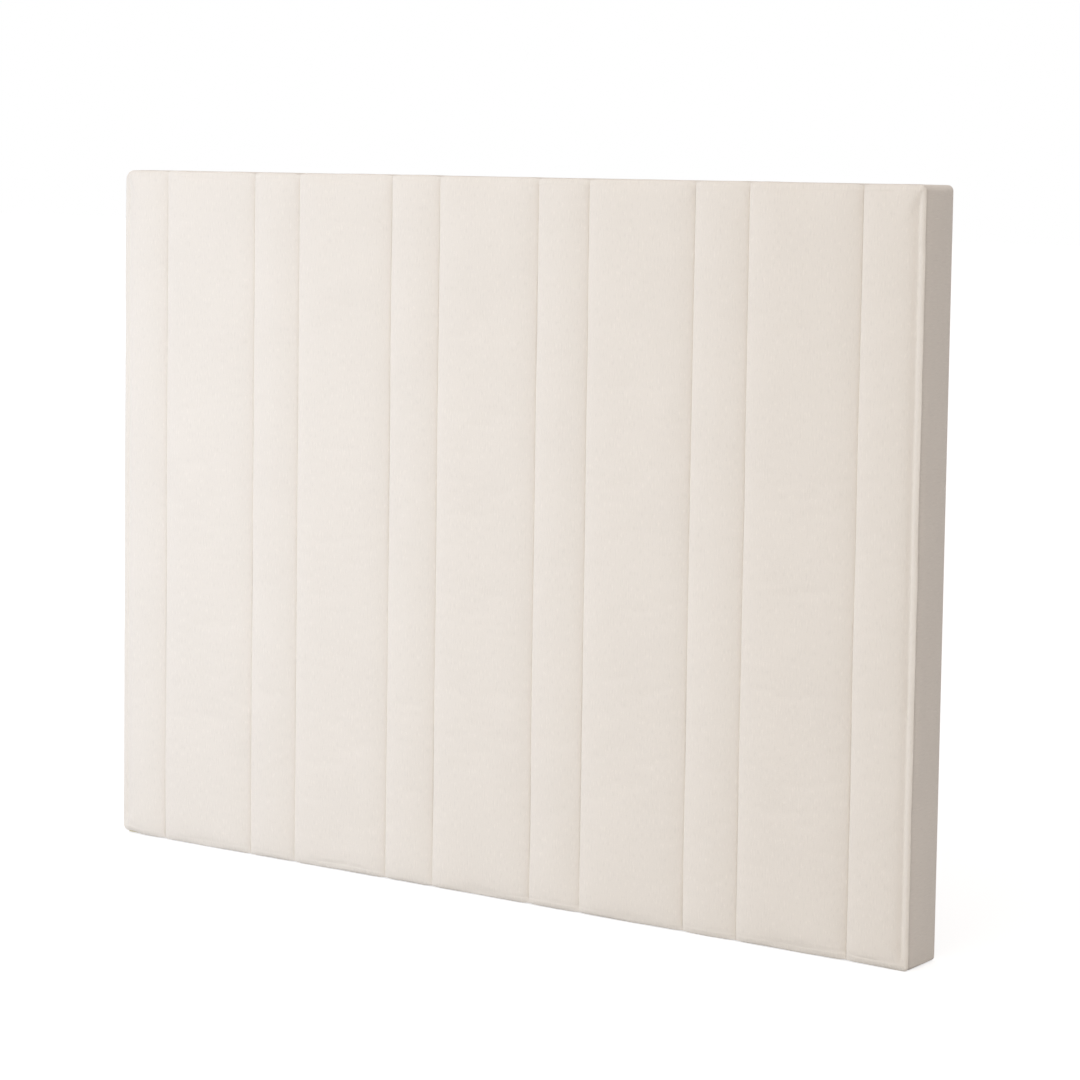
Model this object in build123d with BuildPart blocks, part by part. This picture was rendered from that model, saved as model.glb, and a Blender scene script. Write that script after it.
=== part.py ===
"""Upholstered headboard with sewn vertical channels, in millimetres, +Z up.

The origin is on the floor, half way across the width and half way through the depth.
The channels face -Y and the wall side faces +Y.
"""

import os

from build123d import *

os.makedirs("parts", exist_ok=True)

# Sewn face: an edge channel, then wide and narrow channels in turn, then an edge channel
wide_channel = 199.0
narrow_channel = 99.5
edge_channel = 103.5
wide_count = 5
crown_height = 8.0
seam_thickness = 4.0
wide_shoulder = 60.0

# Outline of the cover, seen from the front
cover_height = 1200.0
top_corner_radius = 14.0
bottom_corner_radius = 12.0
edge_radius = 6.0

# Padding, cover cloth and back lining
foam_thickness = 25.0
edge_padding = 8.0
cloth_thickness = 1.2
turn_under = 40.0
lining_thickness = 0.8
lining_inset = 15.0

# Timber frame and the thin board on its front
board_thickness = 4.0
frame_depth = 57.0
batten_width = 45.0
post_width = 95.0
post_spacing = 700.0
block_leg = 80.0
block_thickness = 18.0

# Screws, dowels and nails that hold the frame together
screw_length = 90.0
screw_radius = 2.5
screw_head_radius = 5.0
screw_gap = 16.0
dowel_radius = 5.0
dowel_length = 40.0
nail_length = 20.0
nail_radius = 0.9
nail_head_radius = 2.2
nail_head_thickness = 0.8
nail_margin = 70.0
nails_per_stile = 8
nails_per_rail_bay = 3
nails_per_post = 7

# Wire staples along the edge of the lining
staple_crown = 10.0
staple_wire_width = 1.2
staple_wire_thickness = 0.7
staple_leg = 7.3
staple_inset = 22.0
staple_margin = 60.0
staples_across = 19
staples_up = 14

# Threaded inserts that take the bolts of a bed base
insert_radius = 6.0
insert_bore_radius = 3.4
insert_length = 20.0
insert_pilot_length = 36.0
insert_height = 120.0
insert_gap = 200.0
lining_hole_radius = 9.0

# Depths, from the crowns of the channels to the wall side
cover_depth = (
    crown_height + seam_thickness + foam_thickness + board_thickness + frame_depth + cloth_thickness + lining_thickness
)
front_y = -cover_depth / 2
seam_y = front_y + crown_height
face_back_y = seam_y + seam_thickness
board_front_y = face_back_y + foam_thickness
frame_front_y = board_front_y + board_thickness
frame_back_y = frame_front_y + frame_depth
frame_middle_y = (frame_front_y + frame_back_y) / 2
cloth_back_y = frame_back_y + cloth_thickness
back_y = cloth_back_y + lining_thickness
edge_y = front_y + edge_radius

# Widths and heights
cover_width = wide_count * wide_channel + (wide_count - 1) * narrow_channel + 2 * edge_channel
frame_half = cover_width / 2 - cloth_thickness - edge_padding
stile_inner = frame_half - batten_width
frame_bottom = cloth_thickness
frame_top = cover_height - cloth_thickness - edge_padding
rail_bottom_top = frame_bottom + batten_width
rail_top_bottom = frame_top - batten_width
post_x = post_spacing / 2
cross_rail_z = (frame_bottom + frame_top) / 2

# Channel edges across the width, left to right
channel_widths = [edge_channel]
for number in range(wide_count):
    channel_widths += [wide_channel, narrow_channel]
channel_widths[-1] = edge_channel
channel_edges = [-cover_width / 2]
for width in channel_widths:
    channel_edges.append(channel_edges[-1] + width)

low_corner = (Align.MIN, Align.MIN, Align.MIN)


def outline(inset, at_y):
    """Front outline of the board at a depth, drawn in by an inset."""
    with BuildSketch(Plane.XZ.offset(-at_y)) as shape:
        with Locations((0, cover_height / 2)):
            Rectangle(cover_width - 2 * inset, cover_height - 2 * inset)
        fillet(shape.vertices().group_by(Axis.Y)[-1], top_corner_radius - inset)
        fillet(shape.vertices().group_by(Axis.Y)[0], bottom_corner_radius - inset)
    return shape.sketch


def span(low, high):
    """A solid block between two opposite corners."""
    size = [b - a for a, b in zip(low, high)]
    with Locations(low):
        return Box(*size, align=low_corner)


# The whole padded face, which the seams divide into channels
with BuildPart() as face:
    with BuildSketch(Plane.XY):
        with BuildLine():
            Line((channel_edges[0], face_back_y), (channel_edges[-1], face_back_y))
            for left, right in zip(channel_edges, channel_edges[1:]):
                shoulder = min(wide_shoulder, (right - left) / 2)
                left_foot = (left, seam_y)
                left_top = (left + shoulder, front_y)
                right_foot = (right, seam_y)
                right_top = (right - shoulder, front_y)
                if left == channel_edges[0]:
                    left_foot = (left, edge_y)
                    left_top = (left + edge_radius, front_y)
                    Line((left, face_back_y), left_foot)
                if right == channel_edges[-1]:
                    right_foot = (right, edge_y)
                    right_top = (right - edge_radius, front_y)
                    Line((right, face_back_y), right_foot)
                TangentArc(left_top, left_foot, tangent=(-1, 0))
                if right_top[0] - left_top[0] > seam_thickness:
                    Line(left_top, right_top)
                TangentArc(right_top, right_foot, tangent=(1, 0))
        make_face()
    extrude(amount=cover_height)
    with BuildSketch(Plane.YZ):
        with BuildLine():
            Polyline((edge_y, 0), (face_back_y, 0), (face_back_y, cover_height), (edge_y, cover_height))
            TangentArc((front_y, cover_height - edge_radius), (edge_y, cover_height), tangent=(0, 1))
            Line((front_y, cover_height - edge_radius), (front_y, edge_radius))
            TangentArc((front_y, edge_radius), (edge_y, 0), tangent=(0, -1))
        make_face()
    extrude(amount=cover_width, both=True, mode=Mode.INTERSECT)
    extrude(outline(0, 0), amount=cover_depth, mode=Mode.INTERSECT)

# Channels of cover cloth and wadding
for number, (left, right) in enumerate(zip(channel_edges, channel_edges[1:]), start=1):
    with BuildPart() as channel:
        add(face.part)
        with Locations((left, front_y, 0)):
            Box(right - left, cover_depth, cover_height, align=low_corner, mode=Mode.INTERSECT)
    channel.part.label = f"channel_{number:02d}"
    export_step(channel.part, f"parts/channel_{number:02d}.step")

# Screws, dowels, nails and staples come first, because the timber and cloth are bored for them
# Countersunk wood screw, with its head at the origin and its point towards -Z
with BuildPart() as frame_screw:
    with BuildSketch(Plane.XZ):
        with BuildLine():
            Polyline(
                (0, 0),
                (screw_head_radius, 0),
                (screw_radius, screw_radius - screw_head_radius),
                (screw_radius, screw_radius - screw_length),
                (0, -screw_length),
                close=True,
            )
        make_face()
    revolve(axis=Axis.Z)

# Places of the frame screws: through the stiles into the rails, and through the rails into the posts
rail_middles = (frame_bottom + batten_width / 2, frame_top - batten_width / 2)
screw_places = []
for side in (-1, 1):
    for depth_side in (-1, 1):
        screw_y = frame_middle_y + depth_side * screw_gap / 2
        for rail_z in rail_middles:
            screw_places.append(Location((side * frame_half, screw_y, rail_z), (0, side * 90, 0)))
        screw_places.append(Location((side * post_x, screw_y, frame_top), (0, 0, 0)))
        screw_places.append(Location((side * post_x, screw_y, frame_bottom), (180, 0, 0)))

with BuildPart() as frame_screws:
    with Locations(*screw_places):
        add(frame_screw.part)
frame_screws.part.label = "frame_screws"
export_step(frame_screws.part, "parts/frame_screws.step")

# Dowels at both ends of each cross rail
dowel_x = [stile_inner, post_x + post_width / 2, post_x - post_width / 2]
with BuildPart() as cross_rail_dowels:
    for x in dowel_x:
        with Locations(Location((x, frame_middle_y, cross_rail_z), (0, 90, 0))):
            Cylinder(dowel_radius, dowel_length)
        with Locations(Location((-x, frame_middle_y, cross_rail_z), (0, 90, 0))):
            Cylinder(dowel_radius, dowel_length)
cross_rail_dowels.part.label = "cross_rail_dowels"
export_step(cross_rail_dowels.part, "parts/cross_rail_dowels.step")

# Nails through the front board into the stiles, rails and posts
nail_places = []
stile_pitch = (frame_top - frame_bottom - 2 * nail_margin) / (nails_per_stile - 1)
for row in range(nails_per_stile):
    for side in (-1, 1):
        nail_places.append((side * (frame_half - batten_width / 2), frame_bottom + nail_margin + row * stile_pitch))
post_pitch = (rail_top_bottom - rail_bottom_top - 2 * nail_margin) / (nails_per_post - 1)
for row in range(nails_per_post):
    for side in (-1, 1):
        nail_places.append((side * post_x, rail_bottom_top + nail_margin + row * post_pitch))
side_bay = (post_x + post_width / 2, stile_inner)
centre_bay = (-post_x + post_width / 2, post_x - post_width / 2)
for bay_low, bay_high in (side_bay, centre_bay, (-side_bay[1], -side_bay[0])):
    for step in range(1, nails_per_rail_bay + 1):
        nail_x = bay_low + (bay_high - bay_low) * step / (nails_per_rail_bay + 1)
        for rail_z in rail_middles:
            nail_places.append((nail_x, rail_z))

with BuildPart() as board_nails:
    with BuildSketch(Plane.XZ.offset(-board_front_y)):
        with Locations(*nail_places):
            Circle(nail_head_radius)
    extrude(amount=-nail_head_thickness)
    with BuildSketch(Plane.XZ.offset(-board_front_y)):
        with Locations(*nail_places):
            Circle(nail_radius)
    extrude(amount=-nail_length)
board_nails.part.label = "board_nails"
export_step(board_nails.part, "parts/board_nails.step")

# Staples: the crown lies flush in the lining and its two legs go into the frame
with BuildPart() as staple:
    with BuildSketch(Plane.XZ.offset(-back_y)):
        Rectangle(staple_crown, staple_wire_width)
    extrude(amount=staple_wire_thickness)
    with BuildSketch(Plane.XZ.offset(-back_y)):
        with GridLocations(staple_crown - staple_wire_thickness, 0, 2, 1):
            Rectangle(staple_wire_thickness, staple_wire_width)
    extrude(amount=staple_leg)

staple_row_half = cover_width / 2 - staple_margin
staple_pitch_across = 2 * staple_row_half / (staples_across - 1)
staple_pitch_up = (cover_height - 2 * staple_margin) / (staples_up - 1)
staple_places = []
for step in range(staples_across):
    for z in (staple_inset, cover_height - staple_inset):
        staple_places.append(Location((-staple_row_half + step * staple_pitch_across, 0, z)))
for step in range(staples_up):
    for side in (-1, 1):
        x = side * (cover_width / 2 - staple_inset)
        staple_places.append(Location((x, 0, staple_margin + step * staple_pitch_up), (0, 90, 0)))

with BuildPart() as lining_staples:
    with Locations(*staple_places):
        add(staple.part)
lining_staples.part.label = "lining_staples"
export_step(lining_staples.part, "parts/lining_staples.step")

# Places of the threaded inserts on the back of the frame
insert_places = [(x, z) for x in (-post_x, post_x) for z in (insert_height, insert_height + insert_gap)]

# Timber frame: stiles run the full height and the rails fit between them
with BuildPart() as left_stile:
    span((-frame_half, frame_front_y, frame_bottom), (-stile_inner, frame_back_y, frame_top))
    extrude(outline(cloth_thickness, frame_back_y), amount=frame_depth, mode=Mode.INTERSECT)
    for fixings in (frame_screws, cross_rail_dowels, board_nails, lining_staples):
        add(fixings.part, mode=Mode.SUBTRACT)
left_stile.part.label = "left_stile"
export_step(left_stile.part, "parts/left_stile.step")

with BuildPart() as right_stile:
    mirror(left_stile.part, about=Plane.YZ)
right_stile.part.label = "right_stile"
export_step(right_stile.part, "parts/right_stile.step")

for name, low, high in (
    ("bottom_rail", frame_bottom, rail_bottom_top),
    ("top_rail", rail_top_bottom, frame_top),
):
    with BuildPart() as rail:
        span((-stile_inner, frame_front_y, low), (stile_inner, frame_back_y, high))
        for fixings in (frame_screws, board_nails, lining_staples):
            add(fixings.part, mode=Mode.SUBTRACT)
    rail.part.label = name
    export_step(rail.part, f"parts/{name}.step")

# Posts between the rails carry the threaded inserts near the floor
for name, x in (("left_post", -post_x), ("right_post", post_x)):
    with BuildPart() as post:
        span(
            (x - post_width / 2, frame_front_y, rail_bottom_top),
            (x + post_width / 2, frame_back_y, rail_top_bottom),
        )
        for fixings in (frame_screws, cross_rail_dowels, board_nails):
            add(fixings.part, mode=Mode.SUBTRACT)
        with BuildSketch(Plane.XZ.offset(-frame_back_y)):
            with Locations(*insert_places):
                Circle(insert_radius)
        extrude(amount=insert_length, mode=Mode.SUBTRACT)
        with BuildSketch(Plane.XZ.offset(-frame_back_y)):
            with Locations(*insert_places):
                Circle(insert_bore_radius)
        extrude(amount=insert_pilot_length, mode=Mode.SUBTRACT)
    post.part.label = name
    export_step(post.part, f"parts/{name}.step")

# Cross rails stiffen the frame at half height, between the stiles and the posts
for name, low, high in (
    ("cross_rail_left", -stile_inner, -post_x - post_width / 2),
    ("cross_rail_centre", -post_x + post_width / 2, post_x - post_width / 2),
    ("cross_rail_right", post_x + post_width / 2, stile_inner),
):
    with BuildPart() as cross_rail:
        span(
            (low, frame_front_y, cross_rail_z - batten_width / 2),
            (high, frame_back_y, cross_rail_z + batten_width / 2),
        )
        add(cross_rail_dowels.part, mode=Mode.SUBTRACT)
    cross_rail.part.label = name
    export_step(cross_rail.part, f"parts/{name}.step")

# Triangular blocks glued into the corners of the frame, behind the front board
for side_name, side in (("left", -1), ("right", 1)):
    for level_name, corner_z, rise in (("bottom", rail_bottom_top, 1), ("top", rail_top_bottom, -1)):
        corner_x = side * stile_inner
        with BuildPart() as corner_block:
            with BuildSketch(Plane.XZ.offset(-frame_front_y)):
                with BuildLine():
                    Polyline(
                        (corner_x, corner_z),
                        (corner_x - side * block_leg, corner_z),
                        (corner_x, corner_z + rise * block_leg),
                        close=True,
                    )
                make_face()
            extrude(amount=-block_thickness)
        name = f"corner_block_{level_name}_{side_name}"
        corner_block.part.label = name
        export_step(corner_block.part, f"parts/{name}.step")

# Thin board on the front of the frame, and the foam slab glued to it
with BuildPart() as front_board:
    span((-frame_half, board_front_y, frame_bottom), (frame_half, frame_front_y, frame_top))
    extrude(outline(cloth_thickness, frame_front_y), amount=board_thickness, mode=Mode.INTERSECT)
    add(board_nails.part, mode=Mode.SUBTRACT)
front_board.part.label = "front_board"
export_step(front_board.part, "parts/front_board.step")

with BuildPart() as foam_slab:
    span((-frame_half, face_back_y, frame_bottom), (frame_half, board_front_y, frame_top))
    extrude(outline(cloth_thickness, board_front_y), amount=foam_thickness, mode=Mode.INTERSECT)
foam_slab.part.label = "foam_slab"
export_step(foam_slab.part, "parts/foam_slab.step")

# Soft strips round the sides and top, under the cloth
padding_depth = frame_back_y - face_back_y
with BuildPart() as padding_ring:
    extrude(outline(cloth_thickness, frame_back_y), amount=padding_depth)
    with Locations((-frame_half, face_back_y, frame_bottom)):
        Box(2 * frame_half, padding_depth, frame_top - frame_bottom, align=low_corner, mode=Mode.SUBTRACT)

for name, low, high in (
    ("edge_padding_left", -cover_width / 2, -frame_half),
    ("edge_padding_top", -frame_half, frame_half),
    ("edge_padding_right", frame_half, cover_width / 2),
):
    with BuildPart() as strip:
        add(padding_ring.part)
        with Locations((low, face_back_y, 0)):
            Box(high - low, padding_depth, cover_height, align=low_corner, mode=Mode.INTERSECT)
    strip.part.label = name
    export_step(strip.part, f"parts/{name}.step")

# Cloth round the edge, turned under onto the back of the frame
cloth_depth = cloth_back_y - face_back_y
with BuildPart() as cloth_ring:
    extrude(outline(0, cloth_back_y), amount=cloth_depth)
    extrude(outline(cloth_thickness, frame_back_y), amount=padding_depth, mode=Mode.SUBTRACT)
    with Locations((-cover_width / 2 + turn_under, frame_back_y, turn_under)):
        Box(
            cover_width - 2 * turn_under,
            cloth_thickness,
            cover_height - 2 * turn_under,
            align=low_corner,
            mode=Mode.SUBTRACT,
        )
    add(lining_staples.part, mode=Mode.SUBTRACT)

bottom_strip_corner = (-cover_width / 2 + turn_under, face_back_y, 0)
bottom_strip_size = (cover_width - 2 * turn_under, cloth_depth, turn_under)

with BuildPart() as border_band:
    add(cloth_ring.part)
    with Locations(bottom_strip_corner):
        Box(*bottom_strip_size, align=low_corner, mode=Mode.SUBTRACT)
border_band.part.label = "border_band"
export_step(border_band.part, "parts/border_band.step")

with BuildPart() as bottom_band:
    add(cloth_ring.part)
    with Locations(bottom_strip_corner):
        Box(*bottom_strip_size, align=low_corner, mode=Mode.INTERSECT)
bottom_band.part.label = "bottom_band"
export_step(bottom_band.part, "parts/bottom_band.step")

# Lining over the open back, cut out round the inserts
with BuildPart() as back_lining:
    span(
        (-cover_width / 2 + lining_inset, cloth_back_y, lining_inset),
        (cover_width / 2 - lining_inset, back_y, cover_height - lining_inset),
    )
    with BuildSketch(Plane.XZ.offset(-back_y)):
        with Locations(*insert_places):
            Circle(lining_hole_radius)
    extrude(amount=lining_thickness, mode=Mode.SUBTRACT)
    add(lining_staples.part, mode=Mode.SUBTRACT)
back_lining.part.label = "back_lining"
export_step(back_lining.part, "parts/back_lining.step")

# Threaded inserts in the backs of the posts
with BuildPart() as bed_inserts:
    with BuildSketch(Plane.XZ.offset(-frame_back_y)):
        with Locations(*insert_places):
            Circle(insert_radius)
            Circle(insert_bore_radius, mode=Mode.SUBTRACT)
    extrude(amount=insert_length)
bed_inserts.part.label = "bed_inserts"
export_step(bed_inserts.part, "parts/bed_inserts.step")

print("cover", cover_width, "x", cover_height, "x", cover_depth, "channel edges", channel_edges)
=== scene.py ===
"""Upholstered headboard with a sewn face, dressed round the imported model. All lengths are in metres."""

import logging
import math
from collections.abc import Iterator
from contextlib import contextmanager
from dataclasses import dataclass, field
from enum import Enum

import bmesh
import bpy
import numpy as np
from mathutils import Matrix, Vector
from mathutils.geometry import delaunay_2d_cdt


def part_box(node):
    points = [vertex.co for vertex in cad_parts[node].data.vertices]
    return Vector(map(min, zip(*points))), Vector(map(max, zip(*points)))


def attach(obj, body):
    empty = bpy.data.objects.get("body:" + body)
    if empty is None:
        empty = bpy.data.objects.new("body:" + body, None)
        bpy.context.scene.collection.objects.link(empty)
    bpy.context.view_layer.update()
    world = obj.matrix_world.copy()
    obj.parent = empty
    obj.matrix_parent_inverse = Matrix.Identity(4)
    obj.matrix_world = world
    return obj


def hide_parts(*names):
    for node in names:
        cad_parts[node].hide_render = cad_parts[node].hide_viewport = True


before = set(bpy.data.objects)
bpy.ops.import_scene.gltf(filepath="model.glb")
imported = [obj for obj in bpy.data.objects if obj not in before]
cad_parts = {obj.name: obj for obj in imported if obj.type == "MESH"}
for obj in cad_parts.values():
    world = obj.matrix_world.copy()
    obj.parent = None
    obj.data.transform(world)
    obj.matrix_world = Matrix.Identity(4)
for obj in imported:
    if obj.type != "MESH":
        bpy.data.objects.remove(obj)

log = logging.getLogger("headboard")

BODY = "root"
SEED = 41
LINE_COUNT = 4096
LAYER_SEEDS = 97
FIELD_COUNT = 512
FIELD_START = 200.0
TINY = 1e-9
MERGE = 1e-6
THIN = 1e-7
WHITE = (1.0, 1.0, 1.0, 1.0)

Triple = tuple[float, float, float]
Colour = Triple
Piece = bpy.types.Object
Finish = bpy.types.Material
Socket = bpy.types.NodeSocket


class Corner(Enum):
    """A corner of the outline, as its side across and its side up."""

    TOP_LEFT = (-1, 1)
    TOP_RIGHT = (1, 1)
    BOTTOM_LEFT = (-1, -1)
    BOTTOM_RIGHT = (1, -1)


class Edge(Enum):
    """The sewn edge piece that a strip of cloth stands for."""

    BORDER = "border_band"
    BOTTOM = "bottom_band"


def ease(t: np.ndarray) -> np.ndarray:
    """Bends a run from 0 to 1 so that it starts and ends gently."""
    return t * t * (3.0 - 2.0 * t)


def smooth(low: float, high: float, value: np.ndarray) -> np.ndarray:
    """Rises smoothly from 0 at low to 1 at high, for each value."""
    return ease(np.clip((value - low) / (high - low), 0.0, 1.0))


def waves(where: np.ndarray, length: float, seed: int, layers: int = 3) -> np.ndarray:
    """Smooth random waves along a line, between about -1 and 1.

    Args:
        where: Places along the line.
        length: Distance between two random values.
        seed: Number that settles the waves.
        layers: How many waves, each finer than the last, are laid over each other.

    Returns:
        The height of the waves at each place.
    """
    total = np.zeros_like(where, dtype=float)
    weight, weights = 1.0, 0.0
    for layer in range(layers):
        heights = np.random.default_rng(seed + LAYER_SEEDS * layer).uniform(-1.0, 1.0, LINE_COUNT)
        at = where / length * 2**layer + LINE_COUNT / 2
        low = np.floor(at).astype(int)
        t = ease(at - low)
        total += weight * (heights[low % LINE_COUNT] * (1.0 - t) + heights[(low + 1) % LINE_COUNT] * t)
        weights += weight
        weight *= 0.5
    return total / weights


def field_waves(x: np.ndarray, z: np.ndarray, across: float, up: float, seed: int) -> np.ndarray:
    """Smooth random waves over a surface, between about -1 and 1.

    Args:
        x: Places across.
        z: Places up.
        across: Distance between random values across.
        up: Distance between random values up.
        seed: Number that settles the waves.

    Returns:
        The height of the waves at each place.
    """
    heights = np.random.default_rng(seed).uniform(-1.0, 1.0, (FIELD_COUNT, FIELD_COUNT))
    u, v = x / across + FIELD_START, z / up + FIELD_START
    column, row = np.floor(u).astype(int), np.floor(v).astype(int)
    s, t = ease(u - column), ease(v - row)
    left, right = column % FIELD_COUNT, (column + 1) % FIELD_COUNT

    def along(line: np.ndarray) -> np.ndarray:
        """Gives the height on a line of random values."""
        return heights[line % FIELD_COUNT, left] * (1.0 - s) + heights[line % FIELD_COUNT, right] * s

    return along(row) * (1.0 - t) + along(row + 1) * t


def between(known: np.ndarray, wanted: np.ndarray) -> np.ndarray:
    """Builds the table that carries values from evenly spaced places to others along a smooth curve.

    Args:
        known: Evenly spaced places.
        wanted: Places where values are wanted.

    Returns:
        One row of weights for each wanted place.
    """
    step = known[1] - known[0]
    at = np.clip((wanted - known[0]) / step, 0.0, len(known) - 1.0)
    low = np.minimum(np.floor(at).astype(int), len(known) - 2)
    t = at - low
    weights = (
        0.5 * (-t + 2 * t**2 - t**3),
        0.5 * (2 - 5 * t**2 + 3 * t**3),
        0.5 * (t + 4 * t**2 - 3 * t**3),
        0.5 * (-(t**2) + t**3),
    )
    table = np.zeros((len(wanted), len(known)))
    rows = np.arange(len(wanted))
    for offset, weight in zip((-1, 0, 1, 2), weights):
        np.add.at(table, (rows, np.clip(low + offset, 0, len(known) - 1)), weight)
    return table


def grid_faces(grid: np.ndarray, turned: bool = False) -> np.ndarray:
    """Joins a grid of points with four-sided faces.

    Args:
        grid: Point numbers in rows and columns.
        turned: True where the faces look the other way.

    Returns:
        One row of four point numbers for each face.
    """
    corners = [grid[:-1, :-1], grid[:-1, 1:], grid[1:, 1:], grid[1:, :-1]]
    if turned:
        corners[1], corners[3] = corners[3], corners[1]
    return np.stack(corners, axis=-1).reshape(-1, 4)


def ring_faces(rings: int, sides: int, joined: bool) -> list[list[int]]:
    """Joins rings of points with four-sided faces.

    Args:
        rings: Number of rings.
        sides: Number of points in a ring.
        joined: True where the last ring is joined to the first.

    Returns:
        The point numbers of each face.
    """
    faces = []
    for ring in range(rings if joined else rings - 1):
        low, high = ring * sides, (ring + 1) % rings * sides
        for number in range(sides):
            following = (number + 1) % sides
            faces.append([low + number, low + following, high + following, high + number])
    return faces


def add_object(name: str, data: bpy.types.ID) -> Piece:
    """Makes an object from its data and links it to the scene.

    Args:
        name: Name of the object.
        data: Its mesh, curve, lamp or camera.

    Returns:
        The new object.
    """
    piece = bpy.data.objects.new(name, data)
    bpy.context.scene.collection.objects.link(piece)
    return piece


def mesh_object(
    name: str, points: np.ndarray, faces: list, flat_map: np.ndarray | None = None, edges: list | None = None
) -> Piece:
    """Makes an object from points and faces.

    Args:
        name: Name of the object and its mesh.
        points: One row of x, y and z for each point.
        faces: Point numbers of each face.
        flat_map: One row of cloth lengths, along and across, for each point.
        edges: Point numbers of each edge that is on no face.

    Returns:
        The new object, linked to the scene.
    """
    mesh = bpy.data.meshes.new(name)
    mesh.from_pydata([tuple(map(float, p)) for p in points], edges or [], [tuple(map(int, f)) for f in faces])
    if flat_map is not None:
        layer = mesh.uv_layers.new(name="cloth_lengths")
        loops = np.empty(len(mesh.loops), dtype=np.int32)
        mesh.loops.foreach_get("vertex_index", loops)
        layer.data.foreach_set("uv", np.asarray(flat_map, dtype=np.float32)[loops].ravel())
    mesh.validate()
    mesh.update()
    return add_object(name, mesh)


@contextmanager
def open_mesh(piece: Piece) -> Iterator[bmesh.types.BMesh]:
    """Opens a piece's mesh for changes and writes it back afterwards.

    Args:
        piece: The piece whose mesh is changed.

    Yields:
        The open mesh.
    """
    work = bmesh.new()
    work.from_mesh(piece.data)
    yield work
    work.to_mesh(piece.data)
    work.free()


def face_outwards(piece: Piece) -> None:
    """Merges doubled points and turns the faces of a closed piece outwards.

    Args:
        piece: The closed piece.
    """
    with open_mesh(piece) as work:
        bmesh.ops.remove_doubles(work, verts=work.verts, dist=MERGE)
        bmesh.ops.recalc_face_normals(work, faces=work.faces)


def apply_modifiers(piece: Piece) -> None:
    """Turns the evaluated shape of a piece into its own plain mesh, without modifiers.

    Args:
        piece: The piece with its modifiers.
    """
    graph = bpy.context.evaluated_depsgraph_get()
    graph.update()
    shape = piece.evaluated_get(graph)
    mesh = bpy.data.meshes.new_from_object(shape, preserve_all_data_layers=True, depsgraph=graph)
    old = piece.data
    piece.modifiers.clear()
    piece.data = mesh
    mesh.name = piece.name
    bpy.data.meshes.remove(old)


def thicken(piece: Piece, thickness: float) -> None:
    """Gives a sheet its thickness, inwards from its outer face.

    Args:
        piece: The sheet.
        thickness: Thickness of the cloth.
    """
    thick = piece.modifiers.new("thickness", "SOLIDIFY")
    thick.thickness = thickness
    thick.offset = -1.0
    apply_modifiers(piece)


def positions(piece: Piece) -> np.ndarray:
    """Gives the points of a piece.

    Args:
        piece: The piece.

    Returns:
        One row of x, y and z for each point.
    """
    flat = np.empty(len(piece.data.vertices) * 3)
    piece.data.vertices.foreach_get("co", flat)
    return flat.reshape(-1, 3)


def set_positions(piece: Piece, points: np.ndarray) -> None:
    """Puts the points of a piece where an array says."""
    piece.data.vertices.foreach_set("co", np.ascontiguousarray(points, dtype=np.float32).ravel())
    piece.data.update()


def set_values(piece: Piece, label: str, values: np.ndarray) -> None:
    """Gives each point of a piece its own number, under a name."""
    attribute = piece.data.attributes.new(label, "FLOAT", "POINT")
    attribute.data.foreach_set("value", np.asarray(values, dtype=np.float32))


def declare(piece: Piece, slot: str, *nodes: str) -> None:
    """Shades a finished piece smoothly, hangs it on its body and hides the nodes that it stands for.

    Args:
        piece: The finished piece.
        slot: Material slot; not used.
        nodes: Names of the nodes that the piece replaces.
    """
    piece.data.polygons.foreach_set("use_smooth", [True] * len(piece.data.polygons))
    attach(piece, BODY)
    if nodes:
        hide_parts(*nodes)
    count = sum(len(face.vertices) - 2 for face in piece.data.polygons)
    log.info("%s: %d triangles", piece.name, count)


def tone(colour: Colour, factor: float = 1.0) -> tuple[float, float, float, float]:
    """Gives a linear colour with its fourth number, made lighter or darker by a factor."""
    return (colour[0] * factor, colour[1] * factor, colour[2] * factor, 1.0)


class Nodes:
    """A node tree, with short ways to add and join its nodes."""

    def __init__(self, tree: bpy.types.NodeTree) -> None:
        """Takes the tree that the nodes are added to."""
        self.tree = tree

    def node(self, kind: str, inputs: dict | None = None, **settings: object) -> bpy.types.Node:
        """Adds a node.

        Args:
            kind: The node's type.
            inputs: Values or sockets for its inputs, by name or number.
            settings: The node's own settings.

        Returns:
            The new node.
        """
        made = self.tree.nodes.new(kind)
        for key, value in settings.items():
            setattr(made, key, value)
        for key, value in (inputs or {}).items():
            self.feed(made.inputs[key], value)
        return made

    def feed(self, socket: Socket, value: object) -> None:
        """Links a socket to another, or sets its value.

        Args:
            socket: The socket that takes the value.
            value: Another socket, or a plain value.
        """
        if isinstance(value, bpy.types.NodeSocket):
            self.tree.links.new(value, socket)
        else:
            socket.default_value = value

    def math(self, operation: str, first: object, second: object = 0.0, third: object = 0.0) -> Socket:
        """Adds a sum of up to three numbers or sockets and gives its result."""
        return self.node("ShaderNodeMath", {0: first, 1: second, 2: third}, operation=operation).outputs[0]

    def blend(self, share: object, first: object, second: object) -> Socket:
        """Mixes two colours, with a share of the second one."""
        return self.node("ShaderNodeMix", {0: share, 6: first, 7: second}, data_type="RGBA").outputs[2]


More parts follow.
